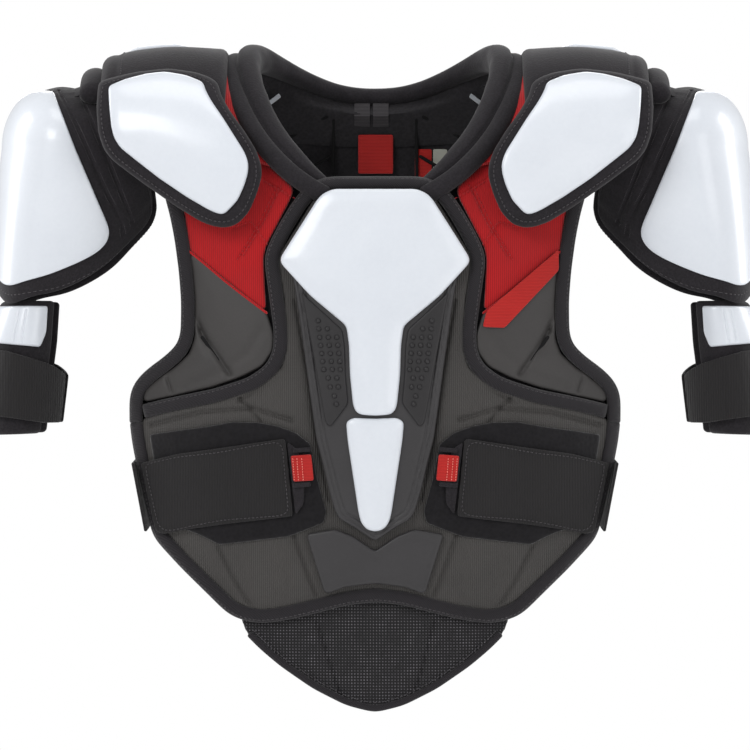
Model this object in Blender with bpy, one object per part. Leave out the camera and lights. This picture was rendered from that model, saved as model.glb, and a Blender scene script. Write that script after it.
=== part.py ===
"""Ice hockey shoulder pads: chest, back, yokes, clavicle plates, shoulder caps,
bicep guards, belly flap and hook-and-loop waist straps.

Millimetres inside this file, metres in the meshes.  +X is the wearer's left,
the wearer faces -Y, +Z is up.  The origin is the centre of the neck opening on
the shoulder line.  Every padded layer lies between two levels of a smooth body
form, so neighbouring layers follow each other without touching.
"""
import math

import bmesh
import bpy
import numpy as np
from mathutils import Vector
from mathutils.geometry import delaunay_2d_cdt

for ob in list(bpy.data.objects):
    bpy.data.objects.remove(ob, do_unlink=True)

MM = 0.001

# ------------------------------------------------------------------ body form
COL_Z = [-480.0, -400.0, -330.0, -250.0, -160.0, -60.0]   # heights
COL_A = [176.0, 186.0, 192.0, 192.0, 192.0, 190.0]        # half width
COL_B = [92.0, 98.0, 105.0, 112.0, 108.0, 98.0]           # half depth
COL_P = 2.6                                               # roundness of the plan
COL_TOP = -78.0
BAR_RY, BAR_RZ, BAR_Z, BAR_X = 78.0, 53.0, -50.0, 226.0   # shoulder bar
BAR_DROOP = 0.0019                                        # outward slope
BLEND = 45.0

# shoulder cap form (radii about its centre), lining to outer skin
CAP_C = (234.0, 0.0, -50.0)
CAP_OUT, CAP_IN, CAP_Y, CAP_UP, CAP_DOWN = 36.0, 78.0, 68.0, 38.0, 165.0
CAP_SHEAR, CAP_P = 0.2, 2.2

# bicep guard form
BIC_Z = [-275.0, -195.0, -150.0]
BIC_CX = [272.0, 263.0, 257.0]
BIC_OUT = [24.0, 23.0, 13.0]
BIC_IN = [18.0, 18.0, 15.0]
BIC_Y = [45.0, 45.0, 40.0]

# layers, mm above the body form
LINER = (0.0, 3.0)
PAD = (5.4, 13.4)
FABRIC = (5.4, 12.0)
TAPE = (0.0, 15.5)
FRAME = (15.4, 19.6)
SHELL = (21.2, 25.5)
GRIP = (21.2, 23.6)
PATCH = (15.4, 17.2)
STRAP = (18.8, 21.2)
TAB = (18.8, 20.6)
PULL = (22.6, 24.4)
BADGE = (15.4, 19.0)
YOKE = (0.0, 24.0)
CLAV_PAD = (27.0, 35.6)
CLAV_SHELL_L = (38.4, 42.0)
BACK = (0.0, 10.5)
BACK_PLATE = (13.6, 18.5)
CAP_PAD_L = (0.0, 6.6)
CAP_SHELL_L = (10.0, 13.0)
BIC_PAD_L = (0.0, 8.0)
BIC_SHELL_L = (9.2, 12.0)
BIC_STRAP_L = (12.9, 15.2)

FLAT_R = 215.0   # panels are gridded on a roll of this radius, denser at the sides

# ------------------------------------------------------------------- outlines
# (x, z) in mm of the wearer's right half, seen from the front
LINER_HALF = [(0, -90), (-33, -90), (-44, -95), (-55, -88), (-70, -72), (-86, -60), (-99, -46), (-147.5, -46),
              (-145, -85), (-140, -103), (-137, -127), (-133, -166), (-133, -195), (-138, -208), (-150, -219),
              (-164, -229), (-170, -240), (-171, -256), (-165.5, -290), (-154, -336), (-135, -355), (-101, -387.5),
              (-94, -391), (-84.5, -393.5), (-66, -391), (-47, -386), (0, -376.5)]
BIB_HALF = [(0, -85.6), (-35, -85.6), (-42, -90.3), (-55, -111.7), (-69.5, -134.7), (-67.7, -148.7), (-64.8, -166.5),
            (-63.6, -201.3), (-67, -217.4), (-84, -231.6), (-117.3, -243.9), (-152.1, -250.4), (-172.5, -256.3),
            (-172.2, -264.2), (-166.9, -292.3), (-161, -318.2), (-155.5, -337), (-137, -356.8), (-102, -389.6),
            (-95.8, -392.2), (-85.5, -395.2), (-67, -392.6), (-47, -387.8), (-22.6, -381.2), (0, -378.4)]
BIB_TAPE = [(0, -79.9), (-33.7, -79.9), (-45.5, -82.9), (-56.6, -96.2), (-68.5, -116.2), (-77, -133.9), (-75.8, -144.3),
            (-73.3, -161.3), (-69.6, -188.7), (-69.9, -205), (-76.6, -218.3), (-91.4, -228.7), (-118.8, -237.5),
            (-152.1, -244.2), (-173, -249.2)]
PEC = [(-136.5, -133), (-111.4, -153.2), (-81.9, -176.2), (-76.5, -192.4), (-77.2, -203.5), (-84.5, -214),
       (-100.3, -222), (-121.7, -229.4), (-144.7, -234.6), (-172, -240.5), (-171.5, -235.3), (-166.3, -230.4),
       (-158.4, -224.4), (-147.3, -217), (-136.2, -206.7), (-132.2, -194.6), (-132, -166.5), (-134, -144.3)]
RED = [(-136.5, -129), (-140, -103.6), (-145.6, -85.1), (-147.5, -62.9), (-147.5, -45), (-106, -45), (-90, -57.5),
       (-77, -69.5), (-61.5, -84), (-64.5, -92), (-82.5, -126.8), (-84, -135.4), (-83.1, -159.1), (-81.9, -173)]
ARM_TAPE = [(-154, -46), (-154.6, -66), (-152.6, -84), (-147.8, -101.4), (-144.2, -119.9), (-140.8, -144.3),
            (-139, -166.5), (-139.3, -192.4), (-143, -202.7), (-153.8, -212.6), (-166.3, -221.2), (-175.5, -229.9),
            (-179, -238.8)]
HEM_TAPE = [(-178.4, -257), (-177, -270.1), (-172.5, -292.3), (-166.6, -318.2), (-161.2, -340.4), (-140.6, -362.2),
            (-122.5, -379.6), (-106.2, -395.5), (-98.8, -398.6), (-85.5, -401.4), (-67, -398.8), (-47, -394),
            (-22.6, -387.5), (0, -384.7)]
FRAME_HALF = [(0, -88.1), (-30.7, -88.1), (-36.6, -91.8), (-63.8, -136.6), (-62.2, -144.3), (-59.9, -154.7),
              (-56.6, -173.9), (-43.3, -270.1), (-33.7, -308.6), (-29.6, -322.4), (-26.3, -328.3), (-15.2, -334.6),
              (0, -345)]
HEX_HALF = [(0, -84.5), (-30.7, -84.5), (-38.1, -87.6), (-42.5, -92), (-70, -135.4), (-70, -139.1), (-47.7, -163.6),
            (-21.2, -185.8), (-19.2, -199.8), (-18.5, -222), (-16.3, -243.5), (-14.8, -248.6), (-11.5, -251.2),
            (0, -252)]
SPINE_HALF = [(0, -254.2), (-10, -253.8), (-15.9, -253.4), (-21.4, -256.4), (-20.2, -270.1), (-12.2, -323.4),
              (-10.4, -330.8), (-6.3, -336), (0, -337.8)]
STUD = [(-54.5, -160), (-48.5, -166.3), (-24.3, -188.4), (-22.5, -200.5), (-21.7, -222.7), (-19.8, -243),
        (-32.9, -260.7), (-36.6, -257.5), (-46.2, -203.5)]
BADGE_HALF = [(0, -352), (-16.5, -340.9), (-29.2, -336.1), (-50.7, -339.7), (-45.5, -356.9), (-37.5, -382.8),
              (-34.4, -383.6), (-22.6, -378.9), (0, -376)]
PATCH_O = [(-168, -266.4), (-146.2, -263.1), (-126.2, -260.5), (-106.2, -256.8), (-87, -257.1), (-72.2, -259.7),
           (-58.1, -264.9), (-47.6, -273.1), (-43.4, -296), (-36, -322.9), (-38, -331.3), (-64, -341.5),
           (-92.9, -345.2), (-115.8, -347.8), (-127.6, -341.9), (-138.8, -337.4), (-153.5, -335.4), (-159.4, -318.2),
           (-164.6, -287.1)]
STRAP_O = [(-174.5, -287.6), (-146.2, -280.5), (-116.5, -276.4), (-67, -269), (-66, -270.1), (-60.6, -326.3),
           (-110.6, -332.3), (-140.2, -336.7), (-157.2, -340.4), (-163.5, -338.2), (-169.4, -312.3)]
TAB_O = [(-64.9, -271.5), (-57.3, -276.8), (-54.4, -288.6), (-52.2, -302.7), (-52.5, -316.7), (-58.6, -325.5)]
PULL_O = [(-62.2, -281.6), (-47, -280.5), (-45.1, -299.7), (-60.3, -300.8)]
CLAV = [(-206, -3.7), (-197.9, -0.7), (-178, 4.1), (-153.6, 6.7), (-133.6, 3.7), (-122.5, -0.4), (-116.3, -5.2),
        (-115.1, -12.6), (-107.7, -25.9), (-96.1, -42.2), (-87.7, -55.9), (-84, -66.6), (-83.5, -75.5),
        (-87.2, -88.1), (-92.9, -101.4), (-101.2, -110.3), (-109.5, -113.2), (-118, -112.5), (-128.4, -108.8),
        (-144.7, -98.9), (-153.1, -93.2), (-175, -77.7), (-194.6, -62.9), (-200.9, -54.8), (-205.1, -42.2),
        (-206.8, -23.7)]
CLAV_SHELL = [(-198.1, -7.3), (-185.4, -1.9), (-169.8, 2.2), (-156.5, 3.7), (-140.7, 1), (-127.4, -4.4),
              (-125.8, -10.4), (-121, -19.2), (-111.6, -33), (-101.2, -49.6), (-96.1, -57.7), (-93.1, -66.2),
              (-93.6, -73.3), (-96.1, -81.8), (-101.2, -93.2), (-111.1, -103.6), (-114.7, -103.5), (-122, -100.5),
              (-138.8, -90.7), (-159.5, -76.7), (-177.2, -62.9), (-188.3, -54), (-193.1, -46.6), (-195.2, -38.2),
              (-196.8, -23.7)]
FLAP_HALF = [(0, -390.6), (-23, -393.4), (-47, -400), (-67, -404.8), (-85, -407.4), (-100, -405.2), (-93.5, -416.6),
             (-68.7, -438.4), (-44.8, -455.1), (-20.6, -467.4), (0, -472.5)]
CAP_EDGE = [(-209, -18), (-201, -34), (-190, -58), (-180, -78), (-174, -92), (-176, -103), (-188, -122), (-199, -135),
            (-210, -144), (-224, -152), (-236, -158), (-247, -161), (-260, -162)]
CAP_SHELL_EDGE = [(-241.6, -9), (-232.7, -29.6), (-223.9, -52.5), (-215, -73.3), (-200.9, -107.3), (-196.5, -117),
                  (-198.7, -120.6), (-205.4, -128.8), (-221.6, -137.6), (-239.4, -145), (-248.3, -148.7),
                  (-262, -151)]
COLLAR = [(-51.4, -101, -74.7), (-60.5, -99, -65.9), (-70.5, -94, -54.8), (-82, -84, -37.7), (-90.5, -70, -18.5),
          (-95.5, -52, -2.2), (-97, -33, 9.6), (-95, -8, 18), (-88, 18, 19), (-74, 42, 13), (-56, 60, 4),
          (-36, 71, -4), (-16, 77, -8), (0, 78, -8.4)]
COLLAR_R = (7.0, 10.0)
# back, (x, z) of the wearer's right half
BACK_HALF = [(0, -24), (-30, -22), (-56, -13), (-80, -14), (-99, -30), (-150, -44), (-150, -80), (-139, -120),
             (-131, -160), (-130, -200), (-140, -225), (-160, -245), (-168, -262), (-166, -300), (-158, -335),
             (-120, -352), (-60, -360), (0, -366)]
BACK_TAPE = [(-154.5, -80), (-143, -121), (-135.6, -160), (-134.6, -198), (-143.5, -221), (-163.5, -241),
             (-172.8, -261), (-170.7, -301), (-161.4, -339.3), (-121, -356.8), (-60, -364.8), (0, -370.8)]
SPINE_UP = [(0, -60), (-30, -64), (-44, -90), (-40, -150), (-28, -185), (0, -192)]
SPINE_DOWN = [(0, -196), (-29, -190), (-34, -215), (-27, -290), (-16, -325), (0, -332)]
SCAPULA = [(-56, -58), (-96, -60), (-122, -84), (-126, -128), (-114, -176), (-84, -200), (-50, -190), (-52, -120)]
WAIST_Z = (-338.0, -287.0)


# --------------------------------------------------------------------- shapes
def smin(a, b, k):
    h = np.maximum(k - np.abs(a - b), 0.0) / k
    return np.minimum(a, b) - h * h * k / 4.0


def smax(a, b, k):
    return -smin(-a, -b, k)


def trunk(x, y, z):
    """Distance-like level of the torso and shoulder bar, mm."""
    a = np.interp(z, COL_Z, COL_A)
    b = np.interp(z, COL_Z, COL_B)
    q = ((np.abs(x) / a) ** COL_P + (np.abs(y) / b) ** COL_P) ** (1 / COL_P)
    r = np.hypot(x, y)
    column = r * (1 - 1 / np.maximum(q, 1e-4))
    column = smax(column, z - COL_TOP, BLEND)
    dz = z - BAR_Z + BAR_DROOP * np.maximum(np.abs(x) - 145.0, 0.0) ** 2
    q = ((np.abs(y) / BAR_RY) ** 2.2 + (np.abs(dz) / BAR_RZ) ** 2.2) ** (1 / 2.2)
    bar = np.hypot(y, dz) * (1 - 1 / np.maximum(q, 1e-4))
    bar = smax(bar, np.abs(x) - BAR_X, 30.0)
    return smin(column, bar, BLEND)


def march(origin, direction, level):
    """Distance along each ray at which the trunk reaches the level."""
    lo = np.zeros(len(origin))
    hi = np.full(len(origin), 420.0)
    for _ in range(34):
        mid = (lo + hi) / 2
        p = origin + direction * mid[:, None]
        inside = trunk(p[:, 0], p[:, 1], p[:, 2]) < level
        lo = np.where(inside, mid, lo)
        hi = np.where(inside, hi, mid)
    return origin + direction * hi[:, None]


def front(uv, level):
    o = np.stack([uv[:, 0], 0 * uv[:, 0], uv[:, 1]], 1)
    return march(o, np.tile([0.0, -1.0, 0.0], (len(uv), 1)), level)


def rear(uv, level):
    o = np.stack([uv[:, 0], 0 * uv[:, 0], uv[:, 1]], 1)
    return march(o, np.tile([0.0, 1.0, 0.0], (len(uv), 1)), level)


def over(uv, level):
    """u is x, v is the arc over the shoulder in mm at radius 80."""
    a = uv[:, 1] / 80.0
    o = np.stack([uv[:, 0], 0 * a, 0 * a + BAR_Z], 1)
    return march(o, np.stack([0 * a, -np.cos(a), np.sin(a)], 1), level)


def badge(uv, level):
    """Follows the form below, with a truly flat outer face."""
    if level < BADGE[1]:
        return front(uv, level)
    return np.stack([uv[:, 0], -(105.0 + level) - 0.1 * (uv[:, 1] + 330.0), uv[:, 1]], 1)


def cap_radius(e):
    """Radius of the cap form along unit directions, for the left side."""
    x = e[:, 0] + CAP_SHEAR * e[:, 2] * (e[:, 2] < 0)
    rx = np.where(x > 0, CAP_OUT, CAP_IN)
    rz = np.where(e[:, 2] > 0, CAP_UP, CAP_DOWN)
    q = ((np.abs(x) / rx) ** CAP_P + (np.abs(e[:, 1]) / CAP_Y) ** CAP_P + (np.abs(e[:, 2]) / rz) ** CAP_P)
    return 1 / q ** (1 / CAP_P)


def cap(uv, level):
    """Azimuthal map about the outward (+X) direction; u toward the front, v up."""
    rho = np.hypot(uv[:, 0], uv[:, 1]) / 100.0
    w = np.arctan2(uv[:, 1], uv[:, 0])
    e = np.stack([np.cos(rho), -np.sin(rho) * np.cos(w), np.sin(rho) * np.sin(w)], 1)
    return np.array(CAP_C) + e * (cap_radius(e) + level)[:, None]


def cap_from_front(points, level):
    """Chart coordinates of (x, z) points seen from the front on the cap."""
    out = []
    for x, z in points:
        x = abs(x)
        lo, hi = 0.0, 200.0
        d = np.array([x, 0.0, z]) - np.array(CAP_C)
        for _ in range(30):
            mid = (lo + hi) / 2
            v = d + np.array([0.0, -mid, 0.0])
            n = np.linalg.norm(v)
            e = (v / n)[None]
            if n < cap_radius(e)[0] + level:
                lo = mid
            else:
                hi = mid
        rho = math.acos(max(-1, min(1, e[0, 0])))
        w = math.atan2(e[0, 2], -e[0, 1])
        out.append((100 * rho * math.cos(w), 100 * rho * math.sin(w)))
    return out


def bicep(uv, level):
    """u is the angle in degrees from the front round the outside, v is z."""
    a = np.radians(uv[:, 0])
    z = uv[:, 1]
    cx = np.interp(z, BIC_Z, BIC_CX)
    rl = np.where(np.sin(a) > 0, np.interp(z, BIC_Z, BIC_OUT), np.interp(z, BIC_Z, BIC_IN))
    ry = np.interp(z, BIC_Z, BIC_Y)
    return np.stack([cx + (rl + level) * np.sin(a), -(ry + level) * np.cos(a), z], 1)


# ------------------------------------------------------------------- outlines
def mirrored(half):
    return list(half) + [(-x, z) for x, z in reversed(half) if abs(x) > 1e-6]


def ribbon(line, half_width, closed_centre=False):
    """Outline of a tape along an open centre line."""
    pts = [np.array(p, float) for p in line]
    if closed_centre:
        pts = pts + [np.array([-p[0], p[1]]) for p in reversed(pts) if abs(p[0]) > 1e-6]
    left, right = [], []
    for i, p in enumerate(pts):
        a = pts[max(i - 1, 0)]
        b = pts[min(i + 1, len(pts) - 1)]
        t = (b - a) / np.linalg.norm(b - a)
        n = np.array([-t[1], t[0]])
        left.append(tuple(p + n * half_width))
        right.append(tuple(p - n * half_width))
    return left + right[::-1]


def resampled(poly, step):
    out = []
    for i, p in enumerate(poly):
        q = poly[(i + 1) % len(poly)]
        n = max(1, int(math.hypot(q[0] - p[0], q[1] - p[1]) / step + 0.35))
        out += [(p[0] + (q[0] - p[0]) * k / n, p[1] + (q[1] - p[1]) * k / n) for k in range(n)]
    return out


def thinned(poly, gap):
    """Drops points that lie nearly on the line between their neighbours."""
    pts = list(poly)
    i = 0
    while i < len(pts) and len(pts) > 6:
        a, b, c = (np.array(pts[(i + k) % len(pts)], float) for k in (0, 1, 2))
        ac = c - a
        h = abs(ac[0] * (b - a)[1] - ac[1] * (b - a)[0]) / max(np.linalg.norm(ac), 1e-6)
        if h < gap and np.linalg.norm(ac) < 30:
            pts.pop((i + 1) % len(pts))
        else:
            i += 1
    return pts


def inner_points(poly, step):
    P = np.array(poly)
    Q = np.roll(P, -1, axis=0)
    lo, hi = P.min(0), P.max(0)
    pts = []
    row = 0
    y = lo[1] + step * 0.5
    while y < hi[1]:
        x = lo[0] + step * (0.5 if row % 2 else 0.0)
        while x < hi[0]:
            pts.append((x, y))
            x += step
        y += step * 0.87
        row += 1
    if not pts:
        return []
    T = np.array(pts)
    inside = np.zeros(len(T), bool)
    near = np.full(len(T), 1e9)
    for a, b in zip(P, Q):
        cross = (a[1] > T[:, 1]) != (b[1] > T[:, 1])
        with np.errstate(divide="ignore", invalid="ignore"):
            xi = (b[0] - a[0]) * (T[:, 1] - a[1]) / (b[1] - a[1]) + a[0]
        inside ^= cross & (T[:, 0] < xi)
        ab = b - a
        t = np.clip(((T - a) @ ab) / max(ab @ ab, 1e-9), 0, 1)
        near = np.minimum(near, np.linalg.norm(T - a - t[:, None] * ab, axis=1))
    return [tuple(p) for p in T[inside & (near > step * 0.45)]]


# --------------------------------------------------------------------- meshes
COLOURS = {
    "black_fabric": ((0.026, 0.023, 0.027), 0.9),
    "grey_foam": ((0.07, 0.065, 0.06), 0.6),
    "ribbed_foam": ((0.11, 0.105, 0.09), 0.65),
    "white_shell": ((0.87, 0.89, 0.92), 0.25),
    "red_fabric": ((0.48, 0.008, 0.015), 0.85),
    "red_tab": ((0.6, 0.03, 0.02), 0.7),
    "black_rubber": ((0.02, 0.02, 0.021), 0.5),
    "loop_fabric": ((0.01, 0.009, 0.011), 1.0),
    "elastic": ((0.018, 0.016, 0.017), 0.9),
    "mesh_fabric": ((0.02, 0.02, 0.022), 0.8),
}


def make(name, verts, faces, finish):
    mesh = bpy.data.meshes.new(name)
    mesh.from_pydata([tuple(v * MM) for v in np.asarray(verts, float)], [], faces)
    bm = bmesh.new()
    bm.from_mesh(mesh)
    bmesh.ops.triangulate(bm, faces=bm.faces)
    bmesh.ops.recalc_face_normals(bm, faces=bm.faces)
    if bm.calc_volume(signed=True) < 0:
        bmesh.ops.reverse_faces(bm, faces=bm.faces)
    bm.to_mesh(mesh)
    bm.free()
    mesh.shade_smooth()
    mesh.set_sharp_from_angle(angle=math.radians(40))
    ob = bpy.data.objects.new(name, mesh)
    bpy.context.scene.collection.objects.link(ob)
    mat = bpy.data.materials.new(name)
    mat.use_nodes = True
    bsdf = mat.node_tree.nodes["Principled BSDF"]
    colour, rough = COLOURS[finish]
    bsdf.inputs["Base Color"].default_value = (*colour, 1.0)
    bsdf.inputs["Roughness"].default_value = rough
    mesh.materials.append(mat)
    return ob


def slab(name, outline, place, levels, finish, step=30.0, side=-1):
    """A closed panel between two levels of the form, cut along the outline."""
    flat = place in (front, rear)
    outline = thinned(outline, 0.35)
    if flat:
        outline = [(FLAT_R * math.asin(u / FLAT_R), v) for u, v in outline]
    poly = resampled(outline, step)
    pts = poly + inner_points(poly, step)
    edges = [(i, (i + 1) % len(poly)) for i in range(len(poly))]
    v2, _, tris, _, _, _ = delaunay_2d_cdt([Vector(p) for p in pts], edges, [], 1, 1e-4)
    uv = np.array([tuple(v) for v in v2])
    if flat:
        uv[:, 0] = FLAT_R * np.sin(uv[:, 0] / FLAT_R)
    top = place(uv, levels[1])
    bottom = place(uv, levels[0])
    n = len(uv)
    count = {}
    for t in tris:
        for a, b in zip(t, list(t[1:]) + [t[0]]):
            count[(a, b)] = count.get((a, b), 0) + 1
    faces = [tuple(t) for t in tris] + [tuple(i + n for i in reversed(t)) for t in tris]
    for a, b in count:
        if (b, a) not in count:
            faces.append((b, a, a + n, b + n))
    verts = np.concatenate([top, bottom])
    if side > 0:
        verts = verts * np.array([-1.0, 1.0, 1.0])
    return make(name, verts, faces, finish)


def both(name, outline, place, levels, finish, step=30.0, flip=1):
    """Right and left copies; flip is -1 where the outline is given for the left."""
    slab(name + "_right", outline, place, levels, finish, step, -flip)
    slab(name + "_left", outline, place, levels, finish, step, flip)


def tube(name, path, radii, finish, sides=8):
    pts = np.array(path, float)
    rings = []
    for i, p in enumerate(pts):
        t = pts[min(i + 1, len(pts) - 1)] - pts[max(i - 1, 0)]
        t /= np.linalg.norm(t)
        side = np.array([p[0], p[1], 0.0])
        side -= t * (side @ t)
        side /= np.linalg.norm(side)
        up = np.cross(t, side)
        if up[2] < 0:
            up = -up
        rings.append([p + side * radii[0] * math.cos(2 * math.pi * k / sides)
                      + up * radii[1] * math.sin(2 * math.pi * k / sides) for k in range(sides)])
    verts = np.array(rings).reshape(-1, 3)
    faces = []
    for i in range(len(pts) - 1):
        for k in range(sides):
            a, b = i * sides + k, i * sides + (k + 1) % sides
            faces.append((a, b, b + sides, a + sides))
    faces.append(tuple(range(sides)))
    faces.append(tuple(range((len(pts) - 1) * sides, len(pts) * sides))[::-1])
    return make(name, verts, faces, finish)


# ---------------------------------------------------------------------- front
slab("chest_liner", mirrored(LINER_HALF), front, LINER, "black_fabric", 32)
slab("bib_pad", mirrored(BIB_HALF), front, PAD, "ribbed_foam", 30)
slab("bib_binding", ribbon(BIB_TAPE[::-1], 4.4, True), front, (5.4, 15.5), "black_fabric", 22)
slab("hem_binding", ribbon(HEM_TAPE, 4.6, True), front, TAPE, "black_fabric", 26)
both("pectoral_pad", PEC, front, PAD, "grey_foam", 28)
both("pectoral_fabric", RED, front, FABRIC, "red_fabric", 26)
both("armhole_binding", ribbon(ARM_TAPE, 4.4), front, TAPE, "black_fabric", 26)
slab("sternum_frame", mirrored(FRAME_HALF), front, FRAME, "black_rubber", 34)
slab("sternum_upper_shell", mirrored(HEX_HALF), front, SHELL, "white_shell", 34)
slab("sternum_lower_shell", mirrored(SPINE_HALF), front, SHELL, "white_shell", 34)
both("sternum_grip_insert", STUD, front, GRIP, "black_rubber", 34)
slab("badge_plate", mirrored(BADGE_HALF), badge, BADGE, "black_rubber", 34)
both("loop_patch", PATCH_O, front, PATCH, "loop_fabric", 34)
both("waist_strap_front", STRAP_O, front, STRAP, "elastic", 32)
both("strap_hook_tab", TAB_O, front, TAB, "black_fabric", 30)
both("strap_pull_tab", PULL_O, front, PULL, "red_tab", 30)
slab("belly_flap", mirrored(FLAP_HALF), front, (3.0, 8.0), "mesh_fabric", 36)

# ---------------------------------------------------------------------- sides
def side_band(uv, level):
    """A flat elastic band straight from front to back; u is y, v is z."""
    x = 179.6 + (uv[:, 1] + 287.0) * 0.19 + level
    return np.stack([x, uv[:, 0], uv[:, 1]], 1)


WAIST = [(-86, WAIST_Z[0]), (-86, WAIST_Z[1]), (0, WAIST_Z[1] + 2), (84, WAIST_Z[1] + 4), (84, WAIST_Z[0] + 4),
         (0, WAIST_Z[0] + 2)]
both("waist_strap_side", WAIST, side_band, (0.0, 2.2), "elastic", 26, -1)

# ----------------------------------------------------------------------- back
slab("back_panel", mirrored(BACK_HALF), rear, BACK, "grey_foam", 32)
slab("back_binding", ribbon(BACK_TAPE, 4.0, True), rear, (0.0, 13.0), "black_fabric", 30)
slab("spine_plate_upper", mirrored(SPINE_UP), rear, BACK_PLATE, "white_shell", 36)
slab("spine_plate_lower", mirrored(SPINE_DOWN), rear, BACK_PLATE, "white_shell", 36)
both("scapula_pad", SCAPULA, rear, BACK_PLATE, "black_fabric", 30)

# ------------------------------------------------------------ neck and shoulder
path = COLLAR + [(-x, y, z) for x, y, z in reversed(COLLAR[:-1])]
tube("collar_roll", path, COLLAR_R, "black_fabric")
YOKE_O = [(-111, 58), (-111, 90), (-112, 125), (-112, 160), (-112, 194), (-112, 222), (-205, 222), (-206, 125),
          (-205, 30), (-160, 22), (-158, 17), (-113, 17)]
both("shoulder_yoke", YOKE_O, over, YOKE, "black_fabric", 27)
both("clavicle_pad", CLAV, front, CLAV_PAD, "black_fabric", 19)
both("clavicle_shell", CLAV_SHELL, front, CLAV_SHELL_L, "white_shell", 19)

# hanger at the back of the neck, inside the back panel
HANG = [(-16, -27), (-5, -27), (-2, -40), (1, -27), (11, -27), (6, -46), (2, -62), (-6, -62), (-10, -46)]
slab("hanger_loop", HANG, rear, (-3.2, -1.2), "elastic", 12)
slab("hanger_tag", [(-13, -66), (14, -66), (14, -36), (9.6, -36), (-13, -36)], rear, (-6.4, -4.8), "red_tab", 15)
slab("size_label", [(31, -47), (56, -47), (56, -76), (31, -76)], rear, (-2.4, -1.0), "red_tab", 15)

# ------------------------------------------------------------------------ caps
def cap_at(azimuth, z, level):
    """Chart coordinates of the point at a height, azimuth 0 front, 90 outward."""
    a = math.radians(azimuth)
    lo, hi = -89.0, 60.0
    for _ in range(30):
        mid = (lo + hi) / 2
        m = math.radians(mid)
        e = np.array([[math.cos(m) * math.sin(a), -math.cos(m) * math.cos(a), math.sin(m)]])
        if CAP_C[2] + e[0, 2] * (cap_radius(e)[0] + level) < z:
            lo = mid
        else:
            hi = mid
    rho = math.acos(e[0, 0])
    w = math.atan2(e[0, 2], -e[0, 1])
    return 100 * rho * math.cos(w), 100 * rho * math.sin(w)


def cap_outline(edge, top, rim, level):
    """Front edge, the rim round the outside, and the same edge at the back."""
    f = cap_from_front(edge, level) + [cap_at(a, z, level) for a, z in rim]
    back = [(-u, v) for u, v in reversed(f) if abs(u) > 0.5]
    over_top = [(back[-1][0] * k, back[-1][1] + top * (1 - k * k)) for k in (0.5, 0.0, -0.5)]
    return f + back + over_top


CAP_RIM = [(58, -162), (75, -161), (90, -161)]
CAP_SHELL_RIM = [(58, -148), (75, -142), (90, -140)]
both("cap_pad", cap_outline(CAP_EDGE, 6.0, CAP_RIM, 5.0), cap, CAP_PAD_L, "black_fabric", 21, -1)
both("cap_shell", cap_outline(CAP_SHELL_EDGE, 3.0, CAP_SHELL_RIM, 11.0), cap, CAP_SHELL_L, "white_shell", 20, -1)

# --------------------------------------------------------------- bicep guards
BIC_PAD_O = [(-48, -166), (-40, -166), (90, -166), (220, -166), (228, -166), (230, -200), (228, -232), (228, -266),
             (90, -268), (-48, -266), (-48, -232), (-50, -200)]
BIC_SHELL_O = [(-30, -170), (90, -170), (210, -170), (212, -190), (205, -201), (90, -196), (-25, -201), (-32, -190)]
BIC_STRAP_O = [(-75, -222), (-40, -214), (20, -204), (90, -200), (160, -204), (220, -214), (255, -222),
               (255, -258), (220, -258), (160, -253), (90, -250), (20, -253), (-40, -258), (-75, -258)]


def wide(outline, f=0.85):
    """Turns the angle coordinate into mm so the triangles come out even."""
    return [(u * f, v) for u, v in outline]


def bicep_mm(uv, level):
    return bicep(np.stack([uv[:, 0] / 0.85, uv[:, 1]], 1), level)


both("bicep_pad", wide(BIC_PAD_O), bicep_mm, BIC_PAD_L, "black_fabric", 15, -1)
both("bicep_shell", wide(BIC_SHELL_O), bicep_mm, BIC_SHELL_L, "white_shell", 13, -1)
both("bicep_strap", wide(BIC_STRAP_O), bicep_mm, BIC_STRAP_L, "elastic", 14, -1)
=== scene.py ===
"""Looks of the hockey shoulder pads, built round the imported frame."""
import math

import bmesh
import bpy
import numpy as np
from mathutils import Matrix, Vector
from mathutils.geometry import delaunay_2d_cdt


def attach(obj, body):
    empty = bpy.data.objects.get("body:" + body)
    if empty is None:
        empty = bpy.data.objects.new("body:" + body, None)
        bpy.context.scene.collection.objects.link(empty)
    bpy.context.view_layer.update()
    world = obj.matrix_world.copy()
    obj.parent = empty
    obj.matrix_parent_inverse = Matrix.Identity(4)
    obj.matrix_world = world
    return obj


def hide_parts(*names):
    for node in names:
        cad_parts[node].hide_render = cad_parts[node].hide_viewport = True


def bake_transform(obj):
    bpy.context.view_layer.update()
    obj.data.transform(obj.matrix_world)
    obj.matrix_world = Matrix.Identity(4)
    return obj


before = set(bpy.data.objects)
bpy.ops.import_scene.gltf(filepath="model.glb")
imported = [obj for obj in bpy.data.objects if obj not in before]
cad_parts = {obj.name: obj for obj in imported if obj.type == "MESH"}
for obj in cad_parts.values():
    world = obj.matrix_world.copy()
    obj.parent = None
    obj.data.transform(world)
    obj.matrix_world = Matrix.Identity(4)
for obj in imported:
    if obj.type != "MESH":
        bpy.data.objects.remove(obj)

MM = 0.001

# ------------------------------------------------------------------ body form
COL_Z = [-480.0, -400.0, -330.0, -250.0, -160.0, -60.0]   # heights
COL_A = [176.0, 186.0, 192.0, 192.0, 192.0, 190.0]        # half width
COL_B = [92.0, 98.0, 105.0, 112.0, 108.0, 98.0]           # half depth
COL_P = 2.6                                               # roundness of the plan
COL_TOP = -78.0
BAR_RY, BAR_RZ, BAR_Z, BAR_X = 78.0, 53.0, -50.0, 226.0   # shoulder bar
BAR_DROOP = 0.0019                                        # outward slope
BLEND = 45.0

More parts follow.
